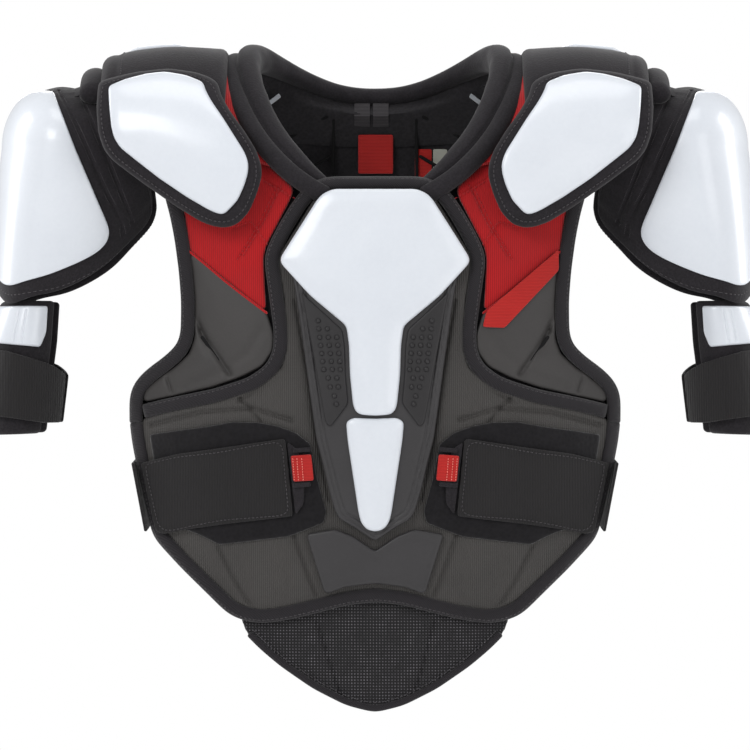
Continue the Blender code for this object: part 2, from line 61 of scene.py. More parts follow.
# shoulder cap form (radii about its centre), lining to outer skin
CAP_C = (234.0, 0.0, -50.0)
CAP_OUT, CAP_IN, CAP_Y, CAP_UP, CAP_DOWN = 36.0, 78.0, 68.0, 38.0, 165.0
CAP_SHEAR, CAP_P = 0.2, 2.2

# bicep guard form
BIC_Z = [-275.0, -195.0, -150.0]
BIC_CX = [272.0, 263.0, 257.0]
BIC_OUT = [24.0, 23.0, 13.0]
BIC_IN = [18.0, 18.0, 15.0]
BIC_Y = [45.0, 45.0, 40.0]

# layers, mm above the body form
LINER = (0.0, 3.0)
PAD = (5.4, 13.4)
FABRIC = (5.4, 12.0)
TAPE = (0.0, 15.5)
FRAME = (15.4, 19.6)
SHELL = (21.2, 25.5)
GRIP = (21.2, 23.6)
PATCH = (15.4, 17.2)
STRAP = (18.8, 21.2)
TAB = (18.8, 20.6)
PULL = (22.6, 24.4)
BADGE = (15.4, 19.0)
YOKE = (0.0, 24.0)
CLAV_PAD = (27.0, 35.6)
CLAV_SHELL_L = (38.4, 42.0)
BACK = (0.0, 10.5)
BACK_PLATE = (13.6, 18.5)
CAP_PAD_L = (0.0, 6.6)
CAP_SHELL_L = (10.0, 13.0)
BIC_PAD_L = (0.0, 8.0)
BIC_SHELL_L = (9.2, 12.0)
BIC_STRAP_L = (12.9, 15.2)

FLAT_R = 215.0   # roll radius, mm

# ------------------------------------------------------------------- outlines
# (x, z) in mm of the wearer's right half, seen from the front
LINER_HALF = [(0, -90), (-33, -90), (-44, -95), (-55, -88), (-70, -72), (-86, -60), (-99, -46), (-147.5, -46),
              (-145, -85), (-140, -103), (-137, -127), (-133, -166), (-133, -195), (-138, -208), (-150, -219),
              (-164, -229), (-170, -240), (-171, -256), (-165.5, -290), (-154, -336), (-135, -355), (-101, -387.5),
              (-94, -391), (-84.5, -393.5), (-66, -391), (-47, -386), (0, -376.5)]
BIB_HALF = [(0, -85.6), (-35, -85.6), (-42, -90.3), (-55, -111.7), (-69.5, -134.7), (-67.7, -148.7), (-64.8, -166.5),
            (-63.6, -201.3), (-67, -217.4), (-84, -231.6), (-117.3, -243.9), (-152.1, -250.4), (-172.5, -256.3),
            (-172.2, -264.2), (-166.9, -292.3), (-161, -318.2), (-155.5, -337), (-137, -356.8), (-102, -389.6),
            (-95.8, -392.2), (-85.5, -395.2), (-67, -392.6), (-47, -387.8), (-22.6, -381.2), (0, -378.4)]
BIB_TAPE = [(0, -79.9), (-33.7, -79.9), (-45.5, -82.9), (-56.6, -96.2), (-68.5, -116.2), (-77, -133.9), (-75.8, -144.3),
            (-73.3, -161.3), (-69.6, -188.7), (-69.9, -205), (-76.6, -218.3), (-91.4, -228.7), (-118.8, -237.5),
            (-152.1, -244.2), (-173, -249.2)]
PEC = [(-136.5, -133), (-111.4, -153.2), (-81.9, -176.2), (-76.5, -192.4), (-77.2, -203.5), (-84.5, -214),
       (-100.3, -222), (-121.7, -229.4), (-144.7, -234.6), (-172, -240.5), (-171.5, -235.3), (-166.3, -230.4),
       (-158.4, -224.4), (-147.3, -217), (-136.2, -206.7), (-132.2, -194.6), (-132, -166.5), (-134, -144.3)]
RED = [(-136.5, -129), (-140, -103.6), (-145.6, -85.1), (-147.5, -62.9), (-147.5, -45), (-106, -45), (-90, -57.5),
       (-77, -69.5), (-61.5, -84), (-64.5, -92), (-82.5, -126.8), (-84, -135.4), (-83.1, -159.1), (-81.9, -173)]
ARM_TAPE = [(-154, -46), (-154.6, -66), (-152.6, -84), (-147.8, -101.4), (-144.2, -119.9), (-140.8, -144.3),
            (-139, -166.5), (-139.3, -192.4), (-143, -202.7), (-153.8, -212.6), (-166.3, -221.2), (-175.5, -229.9),
            (-179, -238.8)]
HEM_TAPE = [(-178.4, -257), (-177, -270.1), (-172.5, -292.3), (-166.6, -318.2), (-161.2, -340.4), (-140.6, -362.2),
            (-122.5, -379.6), (-106.2, -395.5), (-98.8, -398.6), (-85.5, -401.4), (-67, -398.8), (-47, -394),
            (-22.6, -387.5), (0, -384.7)]
FRAME_HALF = [(0, -88.1), (-30.7, -88.1), (-36.6, -91.8), (-63.8, -136.6), (-62.2, -144.3), (-59.9, -154.7),
              (-56.6, -173.9), (-43.3, -270.1), (-33.7, -308.6), (-29.6, -322.4), (-26.3, -328.3), (-15.2, -334.6),
              (0, -345)]
HEX_HALF = [(0, -84.5), (-30.7, -84.5), (-38.1, -87.6), (-42.5, -92), (-70, -135.4), (-70, -139.1), (-47.7, -163.6),
            (-21.2, -185.8), (-19.2, -199.8), (-18.5, -222), (-16.3, -243.5), (-14.8, -248.6), (-11.5, -251.2),
            (0, -252)]
SPINE_HALF = [(0, -254.2), (-10, -253.8), (-15.9, -253.4), (-21.4, -256.4), (-20.2, -270.1), (-12.2, -323.4),
              (-10.4, -330.8), (-6.3, -336), (0, -337.8)]
STUD = [(-54.5, -160), (-48.5, -166.3), (-24.3, -188.4), (-22.5, -200.5), (-21.7, -222.7), (-19.8, -243),
        (-32.9, -260.7), (-36.6, -257.5), (-46.2, -203.5)]
BADGE_HALF = [(0, -352), (-16.5, -340.9), (-29.2, -336.1), (-50.7, -339.7), (-45.5, -356.9), (-37.5, -382.8),
              (-34.4, -383.6), (-22.6, -378.9), (0, -376)]
PATCH_O = [(-168, -266.4), (-146.2, -263.1), (-126.2, -260.5), (-106.2, -256.8), (-87, -257.1), (-72.2, -259.7),
           (-58.1, -264.9), (-47.6, -273.1), (-43.4, -296), (-36, -322.9), (-38, -331.3), (-64, -341.5),
           (-92.9, -345.2), (-115.8, -347.8), (-127.6, -341.9), (-138.8, -337.4), (-153.5, -335.4), (-159.4, -318.2),
           (-164.6, -287.1)]
STRAP_O = [(-174.5, -287.6), (-146.2, -280.5), (-116.5, -276.4), (-67, -269), (-66, -270.1), (-60.6, -326.3),
           (-110.6, -332.3), (-140.2, -336.7), (-157.2, -340.4), (-163.5, -338.2), (-169.4, -312.3)]
TAB_O = [(-64.9, -271.5), (-57.3, -276.8), (-54.4, -288.6), (-52.2, -302.7), (-52.5, -316.7), (-58.6, -325.5)]
PULL_O = [(-62.2, -281.6), (-47, -280.5), (-45.1, -299.7), (-60.3, -300.8)]
CLAV = [(-206, -3.7), (-197.9, -0.7), (-178, 4.1), (-153.6, 6.7), (-133.6, 3.7), (-122.5, -0.4), (-116.3, -5.2),
        (-115.1, -12.6), (-107.7, -25.9), (-96.1, -42.2), (-87.7, -55.9), (-84, -66.6), (-83.5, -75.5),
        (-87.2, -88.1), (-92.9, -101.4), (-101.2, -110.3), (-109.5, -113.2), (-118, -112.5), (-128.4, -108.8),
        (-144.7, -98.9), (-153.1, -93.2), (-175, -77.7), (-194.6, -62.9), (-200.9, -54.8), (-205.1, -42.2),
        (-206.8, -23.7)]
CLAV_SHELL = [(-198.1, -7.3), (-185.4, -1.9), (-169.8, 2.2), (-156.5, 3.7), (-140.7, 1), (-127.4, -4.4),
              (-125.8, -10.4), (-121, -19.2), (-111.6, -33), (-101.2, -49.6), (-96.1, -57.7), (-93.1, -66.2),
              (-93.6, -73.3), (-96.1, -81.8), (-101.2, -93.2), (-111.1, -103.6), (-114.7, -103.5), (-122, -100.5),
              (-138.8, -90.7), (-159.5, -76.7), (-177.2, -62.9), (-188.3, -54), (-193.1, -46.6), (-195.2, -38.2),
              (-196.8, -23.7)]
FLAP_HALF = [(0, -390.6), (-23, -393.4), (-47, -400), (-67, -404.8), (-85, -407.4), (-100, -405.2), (-93.5, -416.6),
             (-68.7, -438.4), (-44.8, -455.1), (-20.6, -467.4), (0, -472.5)]
CAP_EDGE = [(-209, -18), (-201, -34), (-190, -58), (-180, -78), (-174, -92), (-176, -103), (-188, -122), (-199, -135),
            (-210, -144), (-224, -152), (-236, -158), (-247, -161), (-260, -162)]
CAP_SHELL_EDGE = [(-241.6, -9), (-232.7, -29.6), (-223.9, -52.5), (-215, -73.3), (-200.9, -107.3), (-196.5, -117),
                  (-198.7, -120.6), (-205.4, -128.8), (-221.6, -137.6), (-239.4, -145), (-248.3, -148.7),
                  (-262, -151)]
COLLAR = [(-51.4, -101, -74.7), (-60.5, -99, -65.9), (-70.5, -94, -54.8), (-82, -84, -37.7), (-90.5, -70, -18.5),
          (-95.5, -52, -2.2), (-97, -33, 9.6), (-95, -8, 18), (-88, 18, 19), (-74, 42, 13), (-56, 60, 4),
          (-36, 71, -4), (-16, 77, -8), (0, 78, -8.4)]
COLLAR_R = (7.0, 10.0)
# back, (x, z) of the wearer's right half
BACK_HALF = [(0, -24), (-30, -22), (-56, -13), (-80, -14), (-99, -30), (-150, -44), (-150, -80), (-139, -120),
             (-131, -160), (-130, -200), (-140, -225), (-160, -245), (-168, -262), (-166, -300), (-158, -335),
             (-120, -352), (-60, -360), (0, -366)]
BACK_TAPE = [(-154.5, -80), (-143, -121), (-135.6, -160), (-134.6, -198), (-143.5, -221), (-163.5, -241),
             (-172.8, -261), (-170.7, -301), (-161.4, -339.3), (-121, -356.8), (-60, -364.8), (0, -370.8)]
SPINE_UP = [(0, -60), (-30, -64), (-44, -90), (-40, -150), (-28, -185), (0, -192)]
SPINE_DOWN = [(0, -196), (-29, -190), (-34, -215), (-27, -290), (-16, -325), (0, -332)]
SCAPULA = [(-56, -58), (-96, -60), (-122, -84), (-126, -128), (-114, -176), (-84, -200), (-50, -190), (-52, -120)]
WAIST_Z = (-338.0, -287.0)


# --------------------------------------------------------------------- shapes
def smin(a, b, k):
    h = np.maximum(k - np.abs(a - b), 0.0) / k
    return np.minimum(a, b) - h * h * k / 4.0


def smax(a, b, k):
    return -smin(-a, -b, k)


def trunk(x, y, z):
    """Distance-like level of the torso and shoulder bar, mm."""
    a = np.interp(z, COL_Z, COL_A)
    b = np.interp(z, COL_Z, COL_B)
    q = ((np.abs(x) / a) ** COL_P + (np.abs(y) / b) ** COL_P) ** (1 / COL_P)
    r = np.hypot(x, y)
    column = r * (1 - 1 / np.maximum(q, 1e-4))
    column = smax(column, z - COL_TOP, BLEND)
    dz = z - BAR_Z + BAR_DROOP * np.maximum(np.abs(x) - 145.0, 0.0) ** 2
    q = ((np.abs(y) / BAR_RY) ** 2.2 + (np.abs(dz) / BAR_RZ) ** 2.2) ** (1 / 2.2)
    bar = np.hypot(y, dz) * (1 - 1 / np.maximum(q, 1e-4))
    bar = smax(bar, np.abs(x) - BAR_X, 30.0)
    return smin(column, bar, BLEND)


def march(origin, direction, level):
    """Distance along each ray at which the trunk reaches the level."""
    lo = np.zeros(len(origin))
    hi = np.full(len(origin), 420.0)
    for _ in range(26):
        mid = (lo + hi) / 2
        p = origin + direction * mid[:, None]
        inside = trunk(p[:, 0], p[:, 1], p[:, 2]) < level
        lo = np.where(inside, mid, lo)
        hi = np.where(inside, hi, mid)
    return origin + direction * hi[:, None]


def front(uv, level):
    o = np.stack([uv[:, 0], 0 * uv[:, 0], uv[:, 1]], 1)
    return march(o, np.tile([0.0, -1.0, 0.0], (len(uv), 1)), level)


def rear(uv, level):
    o = np.stack([uv[:, 0], 0 * uv[:, 0], uv[:, 1]], 1)
    return march(o, np.tile([0.0, 1.0, 0.0], (len(uv), 1)), level)


def over(uv, level):
    """u is x, v is the arc over the shoulder in mm at radius 80."""
    a = uv[:, 1] / 80.0
    o = np.stack([uv[:, 0], 0 * a, 0 * a + BAR_Z], 1)
    return march(o, np.stack([0 * a, -np.cos(a), np.sin(a)], 1), level)


def badge(uv, level):
    """Follows the form below, with a truly flat outer face."""
    if level < BADGE[1]:
        return front(uv, level)
    return np.stack([uv[:, 0], -(105.0 + level) - 0.1 * (uv[:, 1] + 330.0), uv[:, 1]], 1)


def cap_radius(e):
    """Radius of the cap form along unit directions, for the left side."""
    x = e[:, 0] + CAP_SHEAR * e[:, 2] * (e[:, 2] < 0)
    rx = np.where(x > 0, CAP_OUT, CAP_IN)
    rz = np.where(e[:, 2] > 0, CAP_UP, CAP_DOWN)
    q = ((np.abs(x) / rx) ** CAP_P + (np.abs(e[:, 1]) / CAP_Y) ** CAP_P + (np.abs(e[:, 2]) / rz) ** CAP_P)
    return 1 / q ** (1 / CAP_P)


def cap(uv, level):
    """Azimuthal map about the outward (+X) direction; u toward the front, v up."""
    rho = np.hypot(uv[:, 0], uv[:, 1]) / 100.0
    w = np.arctan2(uv[:, 1], uv[:, 0])
    e = np.stack([np.cos(rho), -np.sin(rho) * np.cos(w), np.sin(rho) * np.sin(w)], 1)
    return np.array(CAP_C) + e * (cap_radius(e) + level)[:, None]


def cap_from_front(points, level):
    """Chart coordinates of (x, z) points seen from the front on the cap."""
    out = []
    for x, z in points:
        x = abs(x)
        lo, hi = 0.0, 200.0
        d = np.array([x, 0.0, z]) - np.array(CAP_C)
        for _ in range(30):
            mid = (lo + hi) / 2
            v = d + np.array([0.0, -mid, 0.0])
            n = np.linalg.norm(v)
            e = (v / n)[None]
            if n < cap_radius(e)[0] + level:
                lo = mid
            else:
                hi = mid
        rho = math.acos(max(-1, min(1, e[0, 0])))
        w = math.atan2(e[0, 2], -e[0, 1])
        out.append((100 * rho * math.cos(w), 100 * rho * math.sin(w)))
    return out


def bicep(uv, level):
    """u is the angle in degrees from the front round the outside, v is z."""
    a = np.radians(uv[:, 0])
    z = uv[:, 1]
    cx = np.interp(z, BIC_Z, BIC_CX)
    rl = np.where(np.sin(a) > 0, np.interp(z, BIC_Z, BIC_OUT), np.interp(z, BIC_Z, BIC_IN))
    ry = np.interp(z, BIC_Z, BIC_Y)
    return np.stack([cx + (rl + level) * np.sin(a), -(ry + level) * np.cos(a), z], 1)


# ------------------------------------------------------------------- outlines
def mirrored(half):
    return list(half) + [(-x, z) for x, z in reversed(half) if abs(x) > 1e-6]


def ribbon(line, half_width, closed_centre=False):
    """Outline of a tape along an open centre line."""
    pts = [np.array(p, float) for p in line]
    if closed_centre:
        pts = pts + [np.array([-p[0], p[1]]) for p in reversed(pts) if abs(p[0]) > 1e-6]
    left, right = [], []
    for i, p in enumerate(pts):
        a = pts[max(i - 1, 0)]
        b = pts[min(i + 1, len(pts) - 1)]
        t = (b - a) / np.linalg.norm(b - a)
        n = np.array([-t[1], t[0]])
        left.append(tuple(p + n * half_width))
        right.append(tuple(p - n * half_width))
    return left + right[::-1]


def resampled(poly, step):
    out = []
    for i, p in enumerate(poly):
        q = poly[(i + 1) % len(poly)]
        n = max(1, int(math.hypot(q[0] - p[0], q[1] - p[1]) / step + 0.35))
        out += [(p[0] + (q[0] - p[0]) * k / n, p[1] + (q[1] - p[1]) * k / n) for k in range(n)]
    return out


def thinned(poly, gap):
    """Drops points that lie nearly on the line between their neighbours."""
    pts = list(poly)
    i = 0
    while i < len(pts) and len(pts) > 6:
        a, b, c = (np.array(pts[(i + k) % len(pts)], float) for k in (0, 1, 2))
        ac = c - a
        h = abs(ac[0] * (b - a)[1] - ac[1] * (b - a)[0]) / max(np.linalg.norm(ac), 1e-6)
        if h < gap and np.linalg.norm(ac) < 30:
            pts.pop((i + 1) % len(pts))
        else:
            i += 1
    return pts


def inner_points(poly, step):
    P = np.array(poly)
    Q = np.roll(P, -1, axis=0)
    lo, hi = P.min(0), P.max(0)
    pts = []
    row = 0
    y = lo[1] + step * 0.5
    while y < hi[1]:
        x = lo[0] + step * (0.5 if row % 2 else 0.0)
        while x < hi[0]:
            pts.append((x, y))
            x += step
        y += step * 0.87
        row += 1
    if not pts:
        return []
    T = np.array(pts)
    inside = np.zeros(len(T), bool)
    near = np.full(len(T), 1e9)
    for a, b in zip(P, Q):
        cross = (a[1] > T[:, 1]) != (b[1] > T[:, 1])
        with np.errstate(divide="ignore", invalid="ignore"):
            xi = (b[0] - a[0]) * (T[:, 1] - a[1]) / (b[1] - a[1]) + a[0]
        inside ^= cross & (T[:, 0] < xi)
        ab = b - a
        t = np.clip(((T - a) @ ab) / max(ab @ ab, 1e-9), 0, 1)
        near = np.minimum(near, np.linalg.norm(T - a - t[:, None] * ab, axis=1))
    return [tuple(p) for p in T[inside & (near > step * 0.45)]]


def cap_at(azimuth, z, level):
    """Chart coordinates of the point at a height, azimuth 0 front, 90 outward."""
    a = math.radians(azimuth)
    lo, hi = -89.0, 60.0
    for _ in range(30):
        mid = (lo + hi) / 2
        m = math.radians(mid)
        e = np.array([[math.cos(m) * math.sin(a), -math.cos(m) * math.cos(a), math.sin(m)]])
        if CAP_C[2] + e[0, 2] * (cap_radius(e)[0] + level) < z:
            lo = mid
        else:
            hi = mid
    rho = math.acos(e[0, 0])
    w = math.atan2(e[0, 2], -e[0, 1])
    return 100 * rho * math.cos(w), 100 * rho * math.sin(w)


def cap_outline(edge, top, rim, level):
    """Front edge, the rim round the outside, and the same edge at the back."""
    f = cap_from_front(edge, level) + [cap_at(a, z, level) for a, z in rim]
    back = [(-u, v) for u, v in reversed(f) if abs(u) > 0.5]
    over_top = [(back[-1][0] * k, back[-1][1] + top * (1 - k * k)) for k in (0.5, 0.0, -0.5)]
    return f + back + over_top


CAP_RIM = [(58, -162), (75, -161), (90, -161)]
CAP_SHELL_RIM = [(58, -148), (75, -142), (90, -140)]
def side_band(uv, level):
    """A flat elastic band straight from front to back; u is y, v is z."""
    x = 179.6 + (uv[:, 1] + 287.0) * 0.19 + level
    return np.stack([x, uv[:, 0], uv[:, 1]], 1)


BIC_PAD_O = [(-48, -166), (-40, -166), (90, -166), (220, -166), (228, -166), (230, -200), (228, -232), (228, -266),
             (90, -268), (-48, -266), (-48, -232), (-50, -200)]
BIC_SHELL_O = [(-30, -170), (90, -170), (210, -170), (212, -190), (205, -201), (90, -196), (-25, -201), (-32, -190)]
BIC_STRAP_O = [(-75, -222), (-40, -214), (20, -204), (90, -200), (160, -204), (220, -214), (255, -222),
               (255, -258), (220, -258), (160, -253), (90, -250), (20, -253), (-40, -258), (-75, -258)]


def wide(outline, f=0.85):
    """Turns the angle coordinate into mm so the triangles come out even."""
    return [(u * f, v) for u, v in outline]


def bicep_mm(uv, level):
    return bicep(np.stack([uv[:, 0] / 0.85, uv[:, 1]], 1), level)


HANG = [(-16, -27), (-5, -27), (-2, -40), (1, -27), (11, -27), (6, -46), (2, -62), (-6, -62), (-10, -46)]

# ======================================================================
# fine surfaces
# ======================================================================
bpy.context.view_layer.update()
COARSE = 1.0
PIECES = []


def grain(u, v, seed, scale):
    """Smooth repeatable unevenness between about -1 and 1."""
    rng = np.random.default_rng(seed)
    out = 0 * u
    for _ in range(7):
        k = rng.normal(0, 1, 2) / scale
        out = out + np.sin(u * k[0] + v * k[1] + rng.uniform(0, 6.28))
    return out / 3.0


def smooth_outline(outline, spacing, rounds):
    """Even points along a closed outline, with its corners softened."""
    pts = np.array(outline, float)
    nxt = np.roll(pts, -1, axis=0)
    seg = np.linalg.norm(nxt - pts, axis=1)
    total = seg.sum()
    n = max(12, int(total / spacing))
    s = np.linspace(0, total, n, endpoint=False)
    acc = np.concatenate([[0], np.cumsum(seg)])
    i = np.clip(np.searchsorted(acc, s, side="right") - 1, 0, len(pts) - 1)
    t = (s - acc[i]) / np.maximum(seg[i], 1e-9)
    p = pts[i] + (nxt[i] - pts[i]) * t[:, None]
    for _ in range(rounds):
        p = p * 0.5 + (np.roll(p, 1, axis=0) + np.roll(p, -1, axis=0)) * 0.25
    return p


def nearest(points, samples):
    out = np.empty(len(points))
    for k in range(0, len(points), 4000):
        d = points[k:k + 4000, None, :] - samples[None, :, :]
        out[k:k + 4000] = np.sqrt((d ** 2).sum(2).min(1))
    return out


def to_line(points, line, closed=False):
    """Distance of each point to an open line, and how far along the line it is."""
    line = np.array(line, float)
    best = np.full(len(points), 1e9)
    along = np.zeros(len(points))
    done = 0.0
    for a, b in zip(line[:-1], line[1:]):
        ab = b - a
        length = np.linalg.norm(ab)
        t = np.clip(((points - a) @ ab) / max(length ** 2, 1e-9), 0, 1)
        d = np.linalg.norm(points - a - t[:, None] * ab, axis=1)
        closer = d < best
        best = np.where(closer, d, best)
        along = np.where(closer, done + t * length, along)
        done += length
    return best, along


def inside_poly(T, P):
    Q2 = np.roll(P, -1, axis=0)
    inside = np.zeros(len(T), bool)
    for a, b in zip(P, Q2):
        cross = (a[1] > T[:, 1]) != (b[1] > T[:, 1])
        if a[1] != b[1]:
            xi = (b[0] - a[0]) * (T[:, 1] - a[1]) / (b[1] - a[1]) + a[0]
            inside ^= cross & (T[:, 0] < xi)
    return inside


def mesh_object(name, verts, faces, material, sharp=45.0, mirror=False):
    verts = np.asarray(verts, float) * MM
    if mirror:
        verts = verts * np.array([-1.0, 1.0, 1.0])
    mesh = bpy.data.meshes.new(name)
    mesh.from_pydata(verts.tolist(), [], faces)
    bm = bmesh.new()
    bm.from_mesh(mesh)
    bmesh.ops.recalc_face_normals(bm, faces=bm.faces)
    if len(bm.faces) < 300000 and bm.calc_volume(signed=True) < 0:
        bmesh.ops.reverse_faces(bm, faces=bm.faces)
    bm.to_mesh(mesh)
    bm.free()
    mesh.shade_smooth()
    mesh.set_sharp_from_angle(angle=math.radians(sharp))
    ob = bpy.data.objects.new(name, mesh)
    bpy.context.scene.collection.objects.link(ob)
    mesh.materials.append(material)
    return ob


def panel(name, outline, place, levels, material, s=4.0, r=2.0, crown=0.0, crown_width=14.0, grooves=(),
          height=None, side=-1, soften=2, r_in=0.8, sharp=50.0, dense=(), grow=0.0):
    """A crowned, round-edged panel with grooves, between two levels of the form."""
    s = s * COARSE
    flat = place in (front, rear)
    sp = min(s * 0.62, 2.6 * COARSE)
    poly = smooth_outline(outline, sp, soften)
    area = 0.5 * np.sum(poly[:, 0] * np.roll(poly[:, 1], -1) - np.roll(poly[:, 0], -1) * poly[:, 1])
    if area < 0:
        poly = poly[::-1]
    t = np.roll(poly, -1, axis=0) - np.roll(poly, 1, axis=0)
    t /= np.maximum(np.linalg.norm(t, axis=1), 1e-9)[:, None]
    inward = np.stack([-t[:, 1], t[:, 0]], 1)
    if grow:
        poly = poly - inward * grow
    rings, ring_e = [], []
    for f in (0.08, 0.3, 0.62, 1.0, 1.5):
        e = r * f
        q = poly + inward * e
        keep = (nearest(q, poly) > e * 0.93) & inside_poly(q, poly)
        rings.append(q[keep])
        ring_e.append(np.full(keep.sum(), e))
    for lines, w in dense:
        ln = np.array(lines, float)
        for a, b in zip(ln[:-1], ln[1:]):
            n = max(2, int(np.linalg.norm(b - a) / (1.6 * COARSE)))
            d = (b - a) / np.linalg.norm(b - a)
            nn = np.array([-d[1], d[0]])
            for off in (-1.6, -0.8, -0.35, 0.0, 0.35, 0.8, 1.6):
                q = a + (b - a) * np.linspace(0, 1, n)[:, None] + nn * off * w
                keep = inside_poly(q, poly)
                q = q[keep]
                e = nearest(q, poly)
                q = q[e > r * 1.3]
                rings.append(q)
                ring_e.append(e[e > r * 1.3])
    lo, hi = poly.min(0), poly.max(0)
    xs = np.arange(lo[0], hi[0], s)
    ys = np.arange(lo[1], hi[1], s * 0.87)
    g = np.array([(x + (s / 2 if j % 2 else 0), y) for j, y in enumerate(ys) for x in xs])
    g = g[inside_poly(g, poly)]
    e = nearest(g, poly)
    keep = e > r * 1.5 + s * 0.4
    pts = np.concatenate([poly] + rings + [g[keep]])
    es = np.concatenate([np.zeros(len(poly))] + ring_e + [e[keep]])
    n0 = len(poly)
    edges = [(i, (i + 1) % n0) for i in range(n0)]
    v2, _, tris, orig, _, _ = delaunay_2d_cdt([Vector(p) for p in pts.tolist()], edges, [], 1, 1e-4)
    uv = np.array([tuple(v) for v in v2])
    ee = np.array([es[o[0]] if len(o) else 0.0 for o in orig])
    u, v = uv[:, 0], uv[:, 1]
    thick = levels[1] - levels[0]
    rr = min(r, thick * 0.95)
    k = np.clip(1 - ee / r, 0, 1)
    drop = rr * (1 - np.sqrt(np.maximum(1 - k * k, 0)))
    h = -drop
    if crown:
        h = h + crown * (1 - np.exp(-ee / crown_width)) - crown * 0.25
    fade = np.clip(ee / (r + 2.0), 0, 1)
    for line, depth, width in grooves:
        d, _ = to_line(uv, line)
        h = h - depth * np.exp(-(d / width) ** 2) * np.where(depth > 0, fade, fade)
    if height is not None:
        h = h + height(u, v, ee, fade)
    top = place(uv, np.maximum(levels[1] + h, levels[0] + 0.25))
    kin = np.clip(1 - ee / r_in, 0, 1)
    low = levels[0] + min(r_in, thick * 0.3) * (1 - np.sqrt(np.maximum(1 - kin * kin, 0)))
    bottom = place(uv, low)
    n = len(uv)
    count = set()
    for tr in tris:
        count.update(zip(tr, list(tr[1:]) + [tr[0]]))
    faces = [tuple(tr) for tr in tris] + [tuple(i + n for i in reversed(tr)) for tr in tris]
    for a, b in count:
        if (b, a) not in count:
            faces.append((b, a, a + n, b + n))
    return mesh_object(name, np.concatenate([top, bottom]), faces, material, sharp, side > 0)


def smooth_line(line, spacing=4.0, rounds=3):
    """An open line resampled and softened."""
    pts = np.array(line, float)
    seg = np.linalg.norm(np.diff(pts, axis=0), axis=1)
    acc = np.concatenate([[0], np.cumsum(seg)])
    n = max(3, int(acc[-1] / spacing) + 1)
    s = np.linspace(0, acc[-1], n)
    p = np.stack([np.interp(s, acc, pts[:, k]) for k in range(pts.shape[1])], 1)
    for _ in range(rounds):
        p[1:-1] = p[1:-1] * 0.5 + (p[:-2] + p[2:]) * 0.25
    return p


def along_line(line, pitch):
    pts = np.array(line, float)
    seg = np.linalg.norm(np.diff(pts, axis=0), axis=1)
    acc = np.concatenate([[0], np.cumsum(seg)])
    s = np.arange(pitch / 2, acc[-1], pitch)
    p = np.stack([np.interp(s, acc, pts[:, k]) for k in range(pts.shape[1])], 1)
    q = np.stack([np.interp(s + 0.4, acc, pts[:, k]) for k in range(pts.shape[1])], 1)
    o = np.stack([np.interp(s - 0.4, acc, pts[:, k]) for k in range(pts.shape[1])], 1)
    t = q - o
    t /= np.maximum(np.linalg.norm(t, axis=1), 1e-9)[:, None]
    return p, t


def stitches(name, lines, place, level, material, pitch=3.4, length=2.3, width=0.34, side=-1, height=0.22):
    """Rows of thread: each stitch is a small pointed capsule lying on the cloth."""
    verts, faces = [], []
    for line in lines:
        p, t = along_line(smooth_line(line, 3.0, 2), pitch)
        lv = level(p) if callable(level) else level
        a = place(p - t * length / 2, lv)
        b = place(p + t * length / 2, lv)
        up = place(p, lv + 1.0) - place(p, lv)
        up /= np.linalg.norm(up, axis=1)[:, None]
        d = b - a
        d /= np.maximum(np.linalg.norm(d, axis=1), 1e-9)[:, None]
        across = np.cross(d, up)
        for i in range(len(p)):
            base = len(verts)
            verts.append(a[i])
            for f in (0.22, 0.78):
                c = a[i] + (b[i] - a[i]) * f
                for k in range(6):
                    w = 2 * math.pi * k / 6
                    verts.append(c + across[i] * width * math.cos(w) + up[i] * (height + width * math.sin(w)))
            verts.append(b[i])
            for k in range(6):
                m = (k + 1) % 6
                faces.append((base, base + 1 + m, base + 1 + k))
                faces.append((base + 1 + k, base + 1 + m, base + 7 + m, base + 7 + k))
                faces.append((base + 13, base + 7 + k, base + 7 + m))
    return mesh_object(name, verts, faces, material, 60.0, side > 0)


def domes(name, centres, place, level, radius, rise, material, side=-1):
    verts, faces = [], []
    c = np.array(centres, float)
    p = place(c, level)
    up = place(c, level + 1.0) - p
    up /= np.linalg.norm(up, axis=1)[:, None]
    for i in range(len(c)):
        n = up[i]
        x = np.cross(n, [0.0, 0.0, 1.0])
        x /= np.linalg.norm(x)
        y = np.cross(n, x)
        base = len(verts)
        rings = ((1.0, -0.4), (0.98, 0.1), (0.86, 0.52), (0.55, 0.86))
        for rad, z in rings:
            for k in range(12):
                w = 2 * math.pi * k / 12
                verts.append(p[i] + (x * math.cos(w) + y * math.sin(w)) * radius * rad + n * rise * z)
        verts.append(p[i] + n * rise)
        verts.append(p[i] - n * rise * 0.4)
        for rr in range(3):
            for k in range(12):
                a, b = base + rr * 12 + k, base + rr * 12 + (k + 1) % 12
                faces.append((a, b, b + 12, a + 12))
        for k in range(12):
            faces.append((base + 36 + k, base + 36 + (k + 1) % 12, base + 48))
            faces.append((base + (k + 1) % 12, base + k, base + 49))
    return mesh_object(name, verts, faces, material, 60.0, side > 0)


